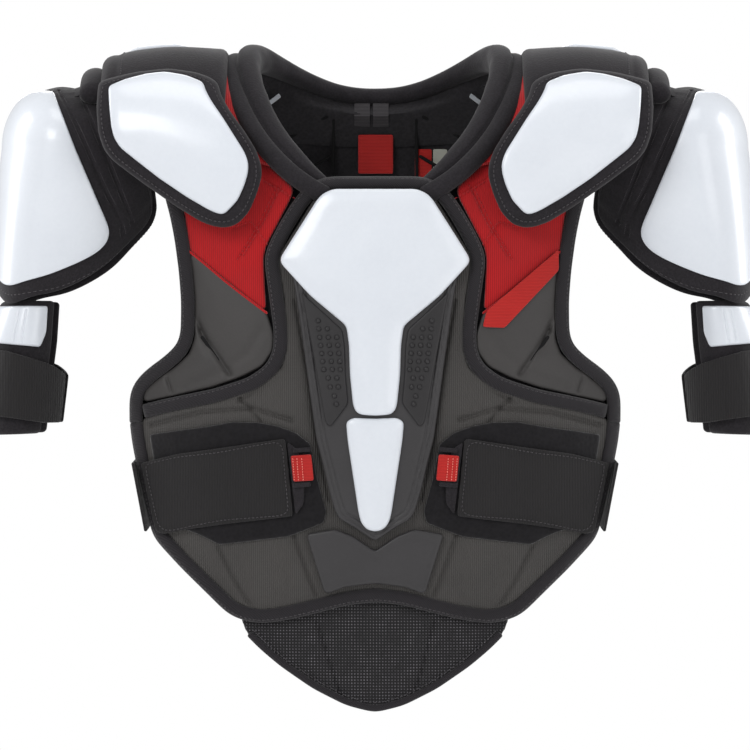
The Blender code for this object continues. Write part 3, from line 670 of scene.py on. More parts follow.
def sweep(name, path, section, material, sides=28, side_dirs=None, caps=True, twist=None):
    """A padded roll: section(i, angle) gives (outward, up) offsets in mm."""
    pts = np.array(path, float)
    n = len(pts)
    verts, faces = [], []
    t = np.gradient(pts, axis=0)
    t /= np.linalg.norm(t, axis=1)[:, None]
    for i in range(n):
        out = np.array([pts[i][0], pts[i][1], 0.0]) if side_dirs is None else side_dirs[i]
        out = out - t[i] * (out @ t[i])
        out /= np.linalg.norm(out)
        up = np.cross(t[i], out)
        if up[2] < 0:
            up = -up
        for k in range(sides):
            w = 2 * math.pi * k / sides
            a, b = section(i / (n - 1), w)
            verts.append(pts[i] + out * a + up * b)
    for i in range(n - 1):
        for k in range(sides):
            a, b = i * sides + k, i * sides + (k + 1) % sides
            faces.append((a, b, b + sides, a + sides))
    if caps:
        for ring, ddir in ((0, -1), (n - 1, 1)):
            c0 = np.mean(verts[ring * sides:(ring + 1) * sides], axis=0)
            base = len(verts)
            for f, push in ((0.72, 2.4), (0.38, 3.8)):
                for k in range(sides):
                    p0 = verts[ring * sides + k]
                    verts.append(c0 + (p0 - c0) * f + t[ring] * ddir * push)
            verts.append(c0 + t[ring] * ddir * 4.3)
            for k in range(sides):
                m = (k + 1) % sides
                faces.append((ring * sides + k, ring * sides + m, base + m, base + k))
                faces.append((base + k, base + m, base + sides + m, base + sides + k))
                faces.append((base + sides + k, base + sides + m, base + 2 * sides))
    return mesh_object(name, verts, faces, material, 70.0)


# ======================================================================
# materials
# ======================================================================
def material(name, base, rough, **kw):
    m = bpy.data.materials.new(name)
    m.use_nodes = True
    nt = m.node_tree
    b = nt.nodes["Principled BSDF"]
    b.inputs["Roughness"].default_value = rough
    b.inputs["Base Color"].default_value = (*base, 1)
    for key, val in kw.items():
        b.inputs[key.replace("_", " ")].default_value = val
    return m, nt, b


def node(nt, kind, **props):
    n = nt.nodes.new(kind)
    for k, v in props.items():
        if k in n.bl_rna.properties:
            setattr(n, k, v)
        else:
            n.inputs[k.replace("_", " ")].default_value = v
    return n


def coords(nt, scale=(1, 1, 1)):
    tc = node(nt, "ShaderNodeTexCoord")
    mp = node(nt, "ShaderNodeMapping")
    mp.inputs["Scale"].default_value = scale
    nt.links.new(tc.outputs["Object"], mp.inputs["Vector"])
    return mp.outputs["Vector"]


def tint(nt, b, fac, dark, light):
    """Base colour between two tones by a texture."""
    ramp = node(nt, "ShaderNodeValToRGB")
    ramp.color_ramp.elements[0].color = (*dark, 1)
    ramp.color_ramp.elements[1].color = (*light, 1)
    nt.links.new(fac, ramp.inputs["Fac"])
    nt.links.new(ramp.outputs["Color"], b.inputs["Base Color"])
    return ramp


def bumps(nt, b, heights):
    """Stacked bump nodes: (output, strength, distance in mm)."""
    last = None
    for out, strength, mm in heights:
        n = node(nt, "ShaderNodeBump")
        n.inputs["Strength"].default_value = strength
        n.inputs["Distance"].default_value = mm * MM
        nt.links.new(out, n.inputs["Height"])
        if last is not None:
            nt.links.new(last, n.inputs["Normal"])
        last = n.outputs["Normal"]
    nt.links.new(last, b.inputs["Normal"])


def noise(nt, vec, scale, detail=3.0, rough=0.6):
    n = node(nt, "ShaderNodeTexNoise")
    n.inputs["Scale"].default_value = scale
    n.inputs["Detail"].default_value = detail
    n.inputs["Roughness"].default_value = rough
    nt.links.new(vec, n.inputs["Vector"])
    return n.outputs["Fac"]


def wave(nt, vec, direction, scale, distortion=0.0, profile="SIN"):
    n = node(nt, "ShaderNodeTexWave")
    n.wave_type = "BANDS"
    n.bands_direction = direction
    n.wave_profile = profile
    n.inputs["Scale"].default_value = scale
    n.inputs["Distortion"].default_value = distortion
    n.inputs["Detail"].default_value = 1.0
    nt.links.new(vec, n.inputs["Vector"])
    return n.outputs["Fac"]


def voronoi(nt, vec, scale, feature="F1"):
    n = node(nt, "ShaderNodeTexVoronoi")
    n.feature = feature
    n.inputs["Scale"].default_value = scale
    nt.links.new(vec, n.inputs["Vector"])
    return n.outputs["Distance"]


def mul(nt, a, b2, op="MULTIPLY"):
    n = node(nt, "ShaderNodeMath")
    n.operation = op
    for k, x in enumerate((a, b2)):
        if isinstance(x, (int, float)):
            n.inputs[k].default_value = x
        else:
            nt.links.new(x, n.inputs[k])
    return n.outputs[0]


def rough_from(nt, b, fac, lo, hi):
    mr = node(nt, "ShaderNodeMapRange")
    mr.inputs["To Min"].default_value = lo
    mr.inputs["To Max"].default_value = hi
    nt.links.new(fac, mr.inputs["Value"])
    nt.links.new(mr.outputs["Result"], b.inputs["Roughness"])


def fabric(name, dark, light, rough=0.85, knit=700.0, sheen=0.25, big=22.0, strength=0.5):
    """Knitted or woven cover: fine cells, slow colour drift, soft sheen."""
    m, nt, b = material(name, light, rough)
    b.inputs["Sheen Weight"].default_value = sheen
    b.inputs["Sheen Roughness"].default_value = 0.45
    b.inputs["Specular IOR Level"].default_value = 0.25
    vec = coords(nt)
    cells = voronoi(nt, vec, knit)
    drift = noise(nt, vec, big, 4.0)
    fine = noise(nt, vec, knit * 0.6, 2.0)
    fac = mul(nt, mul(nt, drift, 0.6), mul(nt, cells, 0.55), "ADD")
    tint(nt, b, fac, dark, light)
    rough_from(nt, b, fine, rough - 0.08, min(rough + 0.1, 1.0))
    bumps(nt, b, [(cells, strength, 0.25), (drift, 0.25, 1.2), (fine, 0.3, 0.12)])
    return m


def ribbed(name, dark, light, direction, pitch_mm, rough=0.8, cross=None, sheen=0.2, strength=0.7, depth=0.35,
           specular=0.3, distortion=0.0):
    """Fine parallel ribs, one every pitch, with a finer thread across them."""
    m, nt, b = material(name, light, rough)
    b.inputs["Sheen Weight"].default_value = sheen
    b.inputs["Specular IOR Level"].default_value = specular
    vec = coords(nt)
    sc = 1000.0 / pitch_mm / 3.1831
    rib = wave(nt, vec, direction, sc, distortion)
    drift = noise(nt, vec, 18.0, 4.0)
    fine = noise(nt, vec, 900.0, 2.0)
    parts = [(rib, strength, depth), (fine, 0.25, 0.15), (drift, 0.2, 1.0)]
    if cross:
        parts.insert(1, (wave(nt, vec, cross, sc * 1.35, 0.0), strength * 0.6, depth * 0.5))
    fac = mul(nt, mul(nt, rib, 0.5), mul(nt, drift, 0.55), "ADD")
    tint(nt, b, fac, dark, light)
    rough_from(nt, b, drift, rough - 0.08, min(rough + 0.1, 1.0))
    bumps(nt, b, parts)
    return m


def moulded(name, dark, light, rough, grain_scale=500.0, specular=0.4, strength=0.35, coat=0.0):
    """Moulded foam, rubber or plastic with a fine grain and slow shading."""
    m, nt, b = material(name, light, rough)
    b.inputs["Specular IOR Level"].default_value = specular
    if coat:
        b.inputs["Coat Weight"].default_value = coat
        b.inputs["Coat Roughness"].default_value = 0.12
    vec = coords(nt)
    g = noise(nt, vec, grain_scale, 3.0)
    drift = noise(nt, vec, 14.0, 4.0)
    tint(nt, b, mul(nt, mul(nt, drift, 0.7), mul(nt, g, 0.3), "ADD"), dark, light)
    rough_from(nt, b, drift, rough - 0.07, rough + 0.08)
    bumps(nt, b, [(g, strength, 0.12), (drift, 0.15, 0.8)])
    return m


def srgb(r, g, b):
    def f(c):
        c = c / 255.0
        return c / 12.92 if c <= 0.04045 else ((c + 0.055) / 1.055) ** 2.4
    return (f(r), f(g), f(b))


M = {
    "black": fabric("cover_black", srgb(14, 12, 14), srgb(43, 40, 44), 0.88, 650.0, 0.12),
    "tape": ribbed("binding_tape", srgb(14, 12, 14), srgb(42, 39, 43), "DIAGONAL", 0.9, 0.86, None, 0.15, 0.6, 0.2),
    "lining": fabric("lining_black", srgb(16, 15, 17), srgb(44, 42, 45), 0.85, 420.0, 0.15),
    "grey": moulded("foam_grey", srgb(36, 35, 35), srgb(68, 65, 64), 0.58, 750.0, 0.42, 0.5),
    "ribs": ribbed("foam_ribbed", srgb(30, 29, 28), srgb(78, 75, 73), "X", 1.45, 0.62, "Z", 0.05, 0.9, 0.4, 0.4),
    "white": moulded("shell_white", srgb(206, 211, 219), srgb(226, 230, 236), 0.3, 320.0, 0.5, 0.06, 0.25),
    "red": ribbed("fabric_red", srgb(124, 2, 8), srgb(194, 8, 16), "X", 1.5, 0.8, None, 0.25, 0.8, 0.35),
    "redtab": ribbed("tab_red", srgb(140, 14, 12), srgb(200, 34, 28), "Z", 1.1, 0.75, "X", 0.2, 0.7, 0.3),
    "rubber": moulded("rubber_black", srgb(22, 21, 22), srgb(46, 44, 46), 0.5, 600.0, 0.4, 0.35),
    "frame": moulded("rubber_frame", srgb(32, 31, 32), srgb(60, 58, 60), 0.48, 600.0, 0.45, 0.35),
    "loop": fabric("loop_pile", srgb(4, 3, 5), srgb(26, 24, 27), 0.97, 330.0, 0.35, 60.0, 1.0),
    "elastic": ribbed("elastic_black", srgb(17, 16, 17), srgb(42, 40, 41), "X", 1.2, 0.85, "Z", 0.1, 0.8, 0.3),
    "web": ribbed("webbing_black", srgb(30, 28, 30), srgb(66, 63, 66), "Z", 1.1, 0.8, "X", 0.15, 0.8, 0.3),
    "thread_dark": fabric("thread_dark", srgb(40, 38, 40), srgb(78, 74, 78), 0.7, 1500.0, 0.2),
    "thread_red": fabric("thread_red", srgb(120, 6, 12), srgb(178, 18, 26), 0.7, 1500.0, 0.2),
    "thread_tab": fabric("thread_tab", srgb(240, 120, 105), srgb(250, 160, 145), 0.7, 1500.0, 0.2),
    "silver": ribbed("label_silver", srgb(140, 141, 132), srgb(188, 188, 178), "Z", 0.9, 0.45, "X", 0.1, 0.5, 0.15),
    # slot: near-black painted shade, for the dark inside of the pectoral slots and the shaded seam creases of the back
    # lining
    "slot": moulded("painted_shade_dark", srgb(10, 10, 11), srgb(24, 23, 24), 0.8, 500.0, 0.2),
}


def mesh_material():
    """Perforated flap: small holes in staggered rows with paler threads between."""
    m, nt, b = material("flap_mesh", srgb(44, 43, 46), 0.7)
    b.inputs["Specular IOR Level"].default_value = 0.35
    vec = coords(nt)
    sep = node(nt, "ShaderNodeSeparateXYZ")
    nt.links.new(vec, sep.inputs[0])
    k = 2 * math.pi / 0.0046
    a = mul(nt, mul(nt, sep.outputs["X"], k), mul(nt, sep.outputs["Z"], k), "ADD")
    c = mul(nt, mul(nt, sep.outputs["X"], k), mul(nt, sep.outputs["Z"], -k), "ADD")
    sa, sc2 = mul(nt, a, 0.0, "SINE"), mul(nt, c, 0.0, "SINE")
    dots = mul(nt, sa, sc2)
    drift = noise(nt, vec, 120.0, 3.0)
    fleck = mul(nt, mul(nt, dots, 0.5), mul(nt, drift, 0.5), "ADD")
    ramp = tint(nt, b, fleck, srgb(18, 17, 19), srgb(112, 110, 114))
    ramp.color_ramp.elements[0].position = 0.3
    ramp.color_ramp.elements[1].position = 0.8
    el = ramp.color_ramp.elements.new(0.55)
    el.color = (*srgb(44, 42, 45), 1)
    rough_from(nt, b, drift, 0.55, 0.85)
    bumps(nt, b, [(dots, 0.7, 0.6), (noise(nt, vec, 900.0, 2.0), 0.3, 0.15)])
    return m


M["mesh"] = mesh_material()

# ======================================================================
# pieces
# ======================================================================
def done(ob, body, *nodes, pad=None, slot=None):
    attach(ob, body)
    if nodes:
        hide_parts(*nodes)
    PIECES.append(ob)
    return ob


def pair(fn):
    for sd, word in ((-1, "right"), (1, "left")):
        fn(sd, word)


def shifted(line, dx, dz):
    return [(a + dx, b + dz) for a, b in line]


def px(*pts):
    """Points on the 750 frame to mm across and up."""
    return [((x - 375.5) * 0.74, (75 - y) * 0.74) for x, y in pts]


def mir(line):
    return [(-x, z) for x, z in line]


# ---------------------------------------------------------------- front shells
BIB = mirrored(BIB_HALF)
rib_zone = lambda u, v, e, f: 0.35 * grain(u, v, 3, 26.0) * f
G_SIDE = [px((218, 547), (234, 580), (250, 606)), px((292, 528), (305, 565), (318, 600)),
          px((240, 398), (252, 410), (260, 422)), px((277, 352), (262, 385), (240, 400)),
          px((296, 300), (310, 380), (318, 440), (330, 500)), px((150, 425), (200, 412), (252, 408), (292, 420))]
bib_grooves = []
for ln in G_SIDE:
    bib_grooves += [(ln, 2.6, 1.7), (mir(ln), 2.6, 1.7)]
bib = panel("bib_moulded_foam", BIB, front, PAD, M["ribs"], s=4.0, r=2.2, crown=1.4, crown_width=12.0,
            grow=2.2, grooves=bib_grooves, height=rib_zone, dense=[(g[0], 1.6) for g in bib_grooves])
done(bib, "torso", "bib_pad", pad=0.8, slot="ribbed_foam")
ln = panel("chest_lining", mirrored(LINER_HALF), front, LINER, M["lining"], s=7.0, r=1.2, crown=0.0, grow=4.2,
           grooves=[([(0, -100), (0, -370)], 0.6, 2.0)])
done(ln, "torso", "chest_liner", slot="black_fabric")


def pecs(sd, w):
    grooves = [(px((190, 312), (204, 335), (222, 362), (230, 374)), 3.6, 2.2),
               (px((165, 375), (170, 388), (172, 398)), 2.4, 1.6),
               (px((188, 262), (196, 320), (208, 352)), 1.6, 2.6),
               (px((262, 330), (250, 352), (222, 372), (180, 388)), 1.4, 2.4)]
    p = panel("pectoral_foam_" + w, PEC, front, PAD, M["grey"], s=3.2, r=2.2, crown=2.2, crown_width=13.0, grow=1.8,
              grooves=grooves, side=sd, height=lambda u, v, e, f: 0.25 * grain(u, v, 5, 20) * f,
              dense=[(g[0], g[2]) for g in grooves[:2]])
    done(p, "torso", "pectoral_pad_" + w, pad=0.7, slot="grey_foam")
    # a near-black strip laid in the pectoral groove: painted shade for the dark inside of the slot
    slot_shade_o = ribbon(px((201, 336), (212, 352), (219, 362)), 1.5)
    sl = panel("pectoral_slot_shade_" + w, slot_shade_o, front, (PAD[1] - 2.8, PAD[1] - 1.3), M["slot"], s=2.0, r=0.5, side=sd)
    done(sl, "torso")
    rg = [(px((233, 228), (250, 222), (268, 250)), 1.0, 1.3), (px((263, 178), (280, 188), (297, 197)), 1.0, 1.3),
          (px((279, 186), (262, 222), (240, 258)), 1.0, 1.4), (px((183, 250), (225, 282), (268, 316)), 1.6, 2.6)]
    r = panel("pectoral_stretch_" + w, RED, front, FABRIC, M["red"], s=3.2, r=2.0, crown=1.8, crown_width=9.0, grow=1.5,
              grooves=rg, side=sd, height=lambda u, v, e, f: 0.3 * grain(u, v, 8, 11) * f,
              dense=[(g[0], g[2]) for g in rg])
    done(r, "torso", "pectoral_fabric_" + w, pad=0.6, slot="red_fabric")
    lv = FABRIC[1] + 1.0
    st = stitches("pectoral_stitch_" + w, [shifted(rg[0][0], 1.6, 1.2), shifted(rg[1][0], 1.0, -2.0),
                                           shifted(rg[2][0], 2.2, 1.4), shifted(rg[2][0], -2.0, -1.2)],
                  front, lv, M["thread_red"], side=sd)
    done(st, "torso")
    # piping along the sloping seam between red fabric and grey moulding
    pip = px((184, 247), (204, 263), (225, 281), (247, 298), (268.5, 314))
    pp = panel("seam_piping_" + w, ribbon(smooth_line(pip, 3.0, 3).tolist(), 0.95), front, (9.0, 13.4), M["red"], s=2.0, r=0.9,
               side=sd)
    done(pp, "torso")


pair(pecs)
# the blank red tag on the wearer's left, under the seam
tag = px((560, 249), (560, 270), (505, 328), (483, 327), (487, 311))
tg = panel("side_tag", [(-x, z) for x, z in tag], front, (15.2, 16.2), M["redtab"], s=2.4, r=0.6, side=1, soften=1)
done(tg, "torso")


def pucker(seed, amp=0.3, scale=3.2):
    return lambda u, v, e, f: amp * grain(u, v, seed, scale) * f


def tape(name, line, place, levels, half, closed, body, nodes, sd=-1, seed=1, rows=True, extra=0.0):
    full = [tuple(p) for p in line]
    if closed:
        full = full + [(-x, z) for x, z in reversed(full) if abs(x) > 1e-6]
    sl = smooth_line(full, 3.0, 5)
    outline = ribbon(sl.tolist(), half)
    t = panel(name, outline, place, levels, M["tape"], s=2.6, r=half * 0.82, crown=extra, crown_width=3.0,
              height=pucker(seed), side=sd, soften=1, r_in=1.5)
    done(t, body, *nodes, slot="black_fabric")
    if rows:
        e = half * 0.62
        off = np.gradient(sl, axis=0)
        off /= np.linalg.norm(off, axis=1)[:, None]
        nn = np.stack([-off[:, 1], off[:, 0]], 1)
        lines = [(sl + nn * e * rows)[2:-2]]
        lv = levels[1] - half * 0.82 * (1 - math.sqrt(max(0.0, 1 - (1 - (half - e) / (half * 0.82)) ** 2)))
        st = stitches(name + "_stitch", lines, place, lv - 0.1, M["thread_dark"], side=sd)
        done(st, body)
    return t


tape("bib_binding_tape", BIB_TAPE[::-1], front, (5.0, 16.2), 5.3, True, "torso", ["bib_binding"], seed=11, rows=1)
tape("hem_binding_tape", HEM_TAPE, front, (-1.0, 16.0), 5.2, True, "torso", ["hem_binding"], seed=12, rows=-1)
ARM_LONG = list(ARM_TAPE) if ARM_TAPE[-1][1] < ARM_TAPE[0][1] else list(ARM_TAPE[::-1])
ARM_LONG = ARM_LONG + [(-178.6, -247.0), (-178.6, -258.0)]
pair(lambda sd, w: tape("armhole_tape_" + w, ARM_LONG, front, (-1.0, 16.0), 5.2, False, "torso",
                        ["armhole_binding_" + w], sd, 13, rows=-1))

# sternum frame, shells, studs
fo = mirrored(FRAME_HALF)
fg = []
for inset in (3.2, 6.6):
    p = smooth_outline(fo, 3.0, 2)
    a = 0.5 * np.sum(p[:, 0] * np.roll(p[:, 1], -1) - np.roll(p[:, 0], -1) * p[:, 1])
    if a < 0:
        p = p[::-1]
    t = np.roll(p, -1, axis=0) - np.roll(p, 1, axis=0)
    t /= np.linalg.norm(t, axis=1)[:, None]
    q = p + np.stack([-t[:, 1], t[:, 0]], 1) * inset
    fg.append((np.concatenate([q, q[:1]]), 1.1, 1.0))
fr = panel("sternum_frame_moulding", fo, front, (15.2, 20.4), M["frame"], s=3.0, r=1.8, crown=0.6, grooves=fg,
           dense=[(g[0][::3], 1.0) for g in fg])
done(fr, "torso", "sternum_frame", pad=0.9, slot="black_rubber")


def hex_height(u, v, e, f):
    ridge = 1.6 * np.exp(-(u / 16.0) ** 2) * np.clip((-150 - v) / 60.0, 0, 1)
    return ridge + 1.6 * np.clip(e / 9.0, 0, 1) ** 0.8


up = panel("sternum_shell_upper", mirrored(HEX_HALF), front, (20.9, 24.2), M["white"], s=3.0, r=1.8, crown=1.8,
           crown_width=22.0, height=hex_height, soften=3)
done(up, "torso", "sternum_upper_shell", slot="white_shell")
lw = panel("sternum_shell_lower", mirrored(SPINE_HALF), front, (20.9, 24.2), M["white"], s=2.6, r=1.8, crown=1.2,
           crown_width=8.0, height=lambda u, v, e, f: 1.4 * np.clip(e / 6.0, 0, 1), soften=3)
done(lw, "torso", "sternum_lower_shell", slot="white_shell")


def grips(sd, w):
    g = panel("grip_insert_" + w, STUD, front, (20.6, 23.0), M["rubber"], s=2.6, r=1.4, crown=0.4, side=sd, soften=2)
    done(g, "torso", "sternum_grip_insert_" + w, slot="black_rubber")
    rows = [(321, [(319)]), (329, [319.5, 328]), (337.5, [320.5, 329, 337.5]), (345.5, [321.5, 330, 338.5]),
            (353.5, [322.5, 331, 339.5]), (361.5, [323.5, 332, 340.5]), (369.5, [324.5, 333, 341]),
            (378, [329, 337.5]), (387, [331, 339]), (396, [335]), (404, [337])]
    c = []
    for y, xs in rows:
        for x in (xs if isinstance(xs, list) else [xs]):
            c += px((x, y))
    d = domes("grip_studs_" + w, c, front, 22.8, 2.05, 1.9, M["rubber"], sd)
    done(d, "torso")


pair(grips)
bp = panel("badge_plate_moulding", mirrored(BADGE_HALF), front, (15.2, 19.2), M["frame"], s=2.6, r=1.8, crown=0.5,
           grooves=[([(-44, -345.5), (-29, -342), (-15, -346.5), (0, -357), (15, -346.5), (29, -342), (44, -345.5),
                      (36, -378), (24, -374), (0, -370.5), (-24, -374), (-36, -378), (-44, -345.5)], 0.7, 0.9)])
done(bp, "torso", "badge_plate", slot="black_rubber")


# ------------------------------------------------------------------- straps
def waist(sd, w):
    fuzz = lambda u, v, e, f: (0.16 * grain(u, v, 21, 1.6) + 0.2 * grain(u, v, 22, 6.0)) * f
    lp = panel("loop_pile_" + w, PATCH_O, front, (15.0, 17.6), M["loop"], s=2.4, r=1.6, crown=0.3, side=sd, height=fuzz)
    done(lp, "torso", "loop_patch_" + w, slot="loop_fabric")
    lpst = smooth_outline(PATCH_O, 3.0, 3)
    body = "waist_strap_" + w
    edge = lambda u, v, e, f: 0.35 * np.exp(-((e - 3.2) / 1.6) ** 2) * 0 - 0.3 * np.exp(-((e - 3.4) / 0.8) ** 2)
    st = panel("front_strap_" + w, STRAP_O, front, (18.4, 21.0), M["elastic"], s=3.2, r=1.0, crown=0.5, side=sd,
               height=lambda u, v, e, f: edge(u, v, e, f) + 0.35 * grain(u, v, 25, 18.0) * f, soften=1)
    done(st, body, "waist_strap_front_" + w, slot="elastic")
    tb = panel("hook_tab_" + w, TAB_O, front, (18.3, 20.4), M["black"], s=2.2, r=0.8, side=sd, soften=3)
    done(tb, body, "strap_hook_tab_" + w, slot="black_fabric")
    pl = panel("pull_tab_" + w, PULL_O, front, (21.9, 23.6), M["redtab"], s=2.0, r=0.8, crown=0.3, side=sd, soften=1)
    done(pl, body, "strap_pull_tab_" + w, slot="red_tab")
    for k, (za, zb) in enumerate(((-276.2, -279.4), (-301.8, -305.2))):
        o = [(-60.8, za), (-47.5, za + 1.0), (-47.3, zb + 1.0), (-60.4, zb)]
        b = panel(f"tab_loop_{k}_{w}", o, front, (21.4, 23.0), M["black"], s=1.6, r=0.6, side=sd, soften=1)
        done(b, body)
    sts = stitches("pull_tab_stitch_" + w, [px((x, 457.5), (x + 1.6, 479.5)) for x in (293.5, 297.6, 302.4)], front,
                   23.7, M["thread_tab"], pitch=1.9, length=1.25, width=0.26, side=sd)
    done(sts, body)
    inner = smooth_outline(STRAP_O, 4.0, 1)
    c = np.array([-115.0, -306.0])
    vec = inner - c
    q = c + vec * (1 - 3.0 / np.maximum(np.linalg.norm(vec, axis=1), 1))[:, None]
    s2 = stitches("front_strap_stitch_" + w, [np.concatenate([q, q[:1]])], front, 21.2, M["thread_dark"], side=sd,
                  pitch=3.0, length=2.0)
    done(s2, body)

    # elastic at the side, from the strap's outer edge straight back
    side_o = [(-92, -338.5), (-92, -287.5), (-40, -286), (0, -285), (84, -283), (84, -334), (0, -336), (-40, -337.4)]
    sb = panel("side_elastic_" + w, side_o, side_band, (0.0, 2.0), M["elastic"], s=3.4, r=0.8, side=-sd, soften=1,
               height=lambda u, v, e, f: 0.5 * np.sin(u * 1.25) * f * 0.35)
    done(sb, "torso", "waist_strap_side_" + w, slot="elastic")


pair(waist)

# ------------------------------------------------------------------- belly flap
FL = mirrored([(x, z + (2.6 if k < 6 else 0)) for k, (x, z) in enumerate(FLAP_HALF)])
flg = [px((317, 622), (330, 664), (341, 700)), px((435, 622), (424, 664), (414, 700))]
fl = panel("belly_mesh", FL, front, (3.0, 7.6), M["mesh"], s=3.4, r=1.6, crown=1.2, crown_width=14,
           grooves=[(g, 1.3, 1.2) for g in flg], height=lambda u, v, e, f: 0.5 * grain(u, v, 31, 20) * f,
           dense=[(g, 1.2) for g in flg])
done(fl, "belly", "belly_flap", pad=0.3, slot="mesh_fabric")
wb = [(0, -384.5), (-22, -387.2), (-47, -393.8), (-67, -398.6), (-85, -401.2), (-96, -399.0), (-99, -404), (-96, -413),
      (-84, -416), (-60, -413), (-30, -403), (0, -400)]
web = panel("belly_web", mirrored(wb), front, (0.2, 3.4), M["black"], s=3.0, r=0.8, soften=1)
PIECES.append(web)
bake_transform(web)
fs = [(-93.5, -414), (-84, -423.6), (-68.7, -436.4), (-44.8, -452.8), (-20.6, -465.0), (0, -470.2)]
fs = smooth_line(fs + mir(fs[:-1])[::-1], 3.0, 3)
nn = np.gradient(fs, axis=0)
nn /= np.linalg.norm(nn, axis=1)[:, None]
nn = np.stack([-nn[:, 1], nn[:, 0]], 1)
bd = panel("belly_binding", ribbon(fs.tolist(), 2.6), front, (1.6, 9.6), M["tape"], s=2.2, r=2.2, soften=1,
           height=pucker(33, 0.2))
done(bd, "belly")
done(stitches("belly_stitch", [fs + nn * 4.0], front, 8.6, M["thread_dark"]), "belly")


# ------------------------------------------------------------- yokes and collar
def yokes(sd, w):
    yo = [(-111, 55), (-111, 90), (-111, 125), (-111, 160), (-111, 194), (-112, 222), (-205, 222), (-207, 125),
          (-205, 26), (-160, 20), (-112, 20)]
    yg = [([(-194, 20), (-194, 120), (-194, 222)], 0.9, 2.6),
          ([(-116, 158), (-190, 158)], 1.4, 2.4), ([(-116, 192), (-190, 192)], 1.4, 2.4)]
    y = panel("yoke_pad_" + w, yo, over, (0.0, 23.0), M["black"], s=4.0, r=6.0, crown=2.2, crown_width=12, grooves=yg,
              side=sd, r_in=3.0, height=lambda u, v, e, f: 0.5 * grain(u, v, 41, 16) * f, dense=[(g[0], g[2]) for g in yg])
    done(y, "torso", "shoulder_yoke_" + w, pad=0.7, slot="black_fabric")
    done(stitches("yoke_stitch_" + w, [shifted(yg[0][0], 3.6, 0)],
                  over, 23.9, M["thread_dark"], side=sd), "torso")


pair(yokes)
cend = [(-33.0, -101.5, -87.0), (-42.0, -102.0, -81.5)] + list(COLLAR)
cp = cend + [(-x, y, z) for x, y, z in reversed(cend[:-1])]
cp = smooth_line(cp, 4.0, 8)


def collar_section(t, w):
    c, s = math.cos(w), math.sin(w)
    m = abs(2 * t - 1)
    a = 9.8 * np.sign(c) * abs(c) ** 0.85
    r_ = min(max((m - 0.22) / 0.24, 0.0), 1.0)
    b = (7.2 + 4.3 * r_ * r_ * (3 - 2 * r_)) * np.sign(s) * abs(s) ** 0.85 + 1.2 * (1 - r_)
    seam = 1.1 * (math.exp(-((w - 0.45) / 0.12) ** 2) + math.exp(-((w - 5.75) / 0.12) ** 2))
    wob = 0.25 * math.sin(t * 150) * math.sin(w * 3)
    k = 1 - 0.38 * (1 - min(min(t, 1 - t) / 0.07, 1.0)) ** 1.5
    return (a * (1 - 0.1 * seam) + wob) * k, b * (1 - 0.02 * seam) * k


col = sweep("collar_pad", cp, collar_section, M["black"], sides=44)
out = np.stack([cp[:, 0], cp[:, 1] * 0.9, np.zeros(len(cp))], 1)
out /= np.linalg.norm(out, axis=1)[:, None]
fp = cp + out * 13.0 + np.array([0, 0, -2.0])
keep = np.abs(np.arange(len(fp)) / (len(fp) - 1) - 0.5) > 0.0
fl_ = sweep("collar_flange", fp, lambda t, w: ((7.4 - 2.4 * (1 - min(min(t, 1 - t) / 0.08, 1.0))) * math.cos(w) * (1 - 0.12 * math.exp(-((w - 1.2) / 0.2) ** 2)),
                                                7.0 * math.sin(w)), M["black"], sides=26)
done(fl_, "torso")
done(col, "torso", "collar_roll", pad=0.8, slot="black_fabric")


def loft(name, a, b, rows, thick, material, side=-1, bow=0.0):
    """A sewn sheet of even thickness between two edges."""
    edges = [smooth_line3(q, 44) for q in ([a] + (b if isinstance(b, list) and np.ndim(b[0]) == 2 else [b]))]
    t = np.linspace(0, 1, rows)[:, None, None]
    w = t * (len(edges) - 1)
    g = 0
    for k, ed in enumerate(edges):
        g = g + np.clip(1 - np.abs(w - k), 0, 1) * ed[None]
    du = np.gradient(g, axis=1)
    dv = np.gradient(g, axis=0)
    n = np.cross(du, dv)
    n /= np.maximum(np.linalg.norm(n, axis=2), 1e-9)[..., None]
    g = g + n * bow * np.sin(np.pi * t)
    m, k = g.shape[:2]
    v = np.concatenate([(g + n * thick / 2).reshape(-1, 3), (g - n * thick / 2).reshape(-1, 3)])
    f = []
    for i in range(m - 1):
        for j in range(k - 1):
            q = (i * k + j, i * k + j + 1, (i + 1) * k + j + 1, (i + 1) * k + j)
            f += [q, tuple(x + m * k for x in reversed(q))]
    rim = [(0, j) for j in range(k)] + [(i, k - 1) for i in range(1, m)] + [(m - 1, j) for j in range(k - 2, -1, -1)]
    rim += [(i, 0) for i in range(m - 2, 0, -1)]
    rim = [i * k + j for i, j in rim]
    for x, y in zip(rim, rim[1:] + rim[:1]):
        f.append((y, x, x + m * k, y + m * k))
    return mesh_object(name, v, f, material, 60.0, side > 0)


def as_sheet(ob, *on):
    return ob


def smooth_line3(pts, n):
    p = np.array(pts, float)
    acc = np.concatenate([[0], np.cumsum(np.linalg.norm(np.diff(p, axis=0), axis=1))])
    s_ = np.linspace(0, acc[-1], n)
    q = np.stack([np.interp(s_, acc, p[:, k]) for k in range(3)], 1)
    for _ in range(3):
        q[1:-1] = q[1:-1] * 0.5 + (q[:-2] + q[2:]) * 0.25
    return q


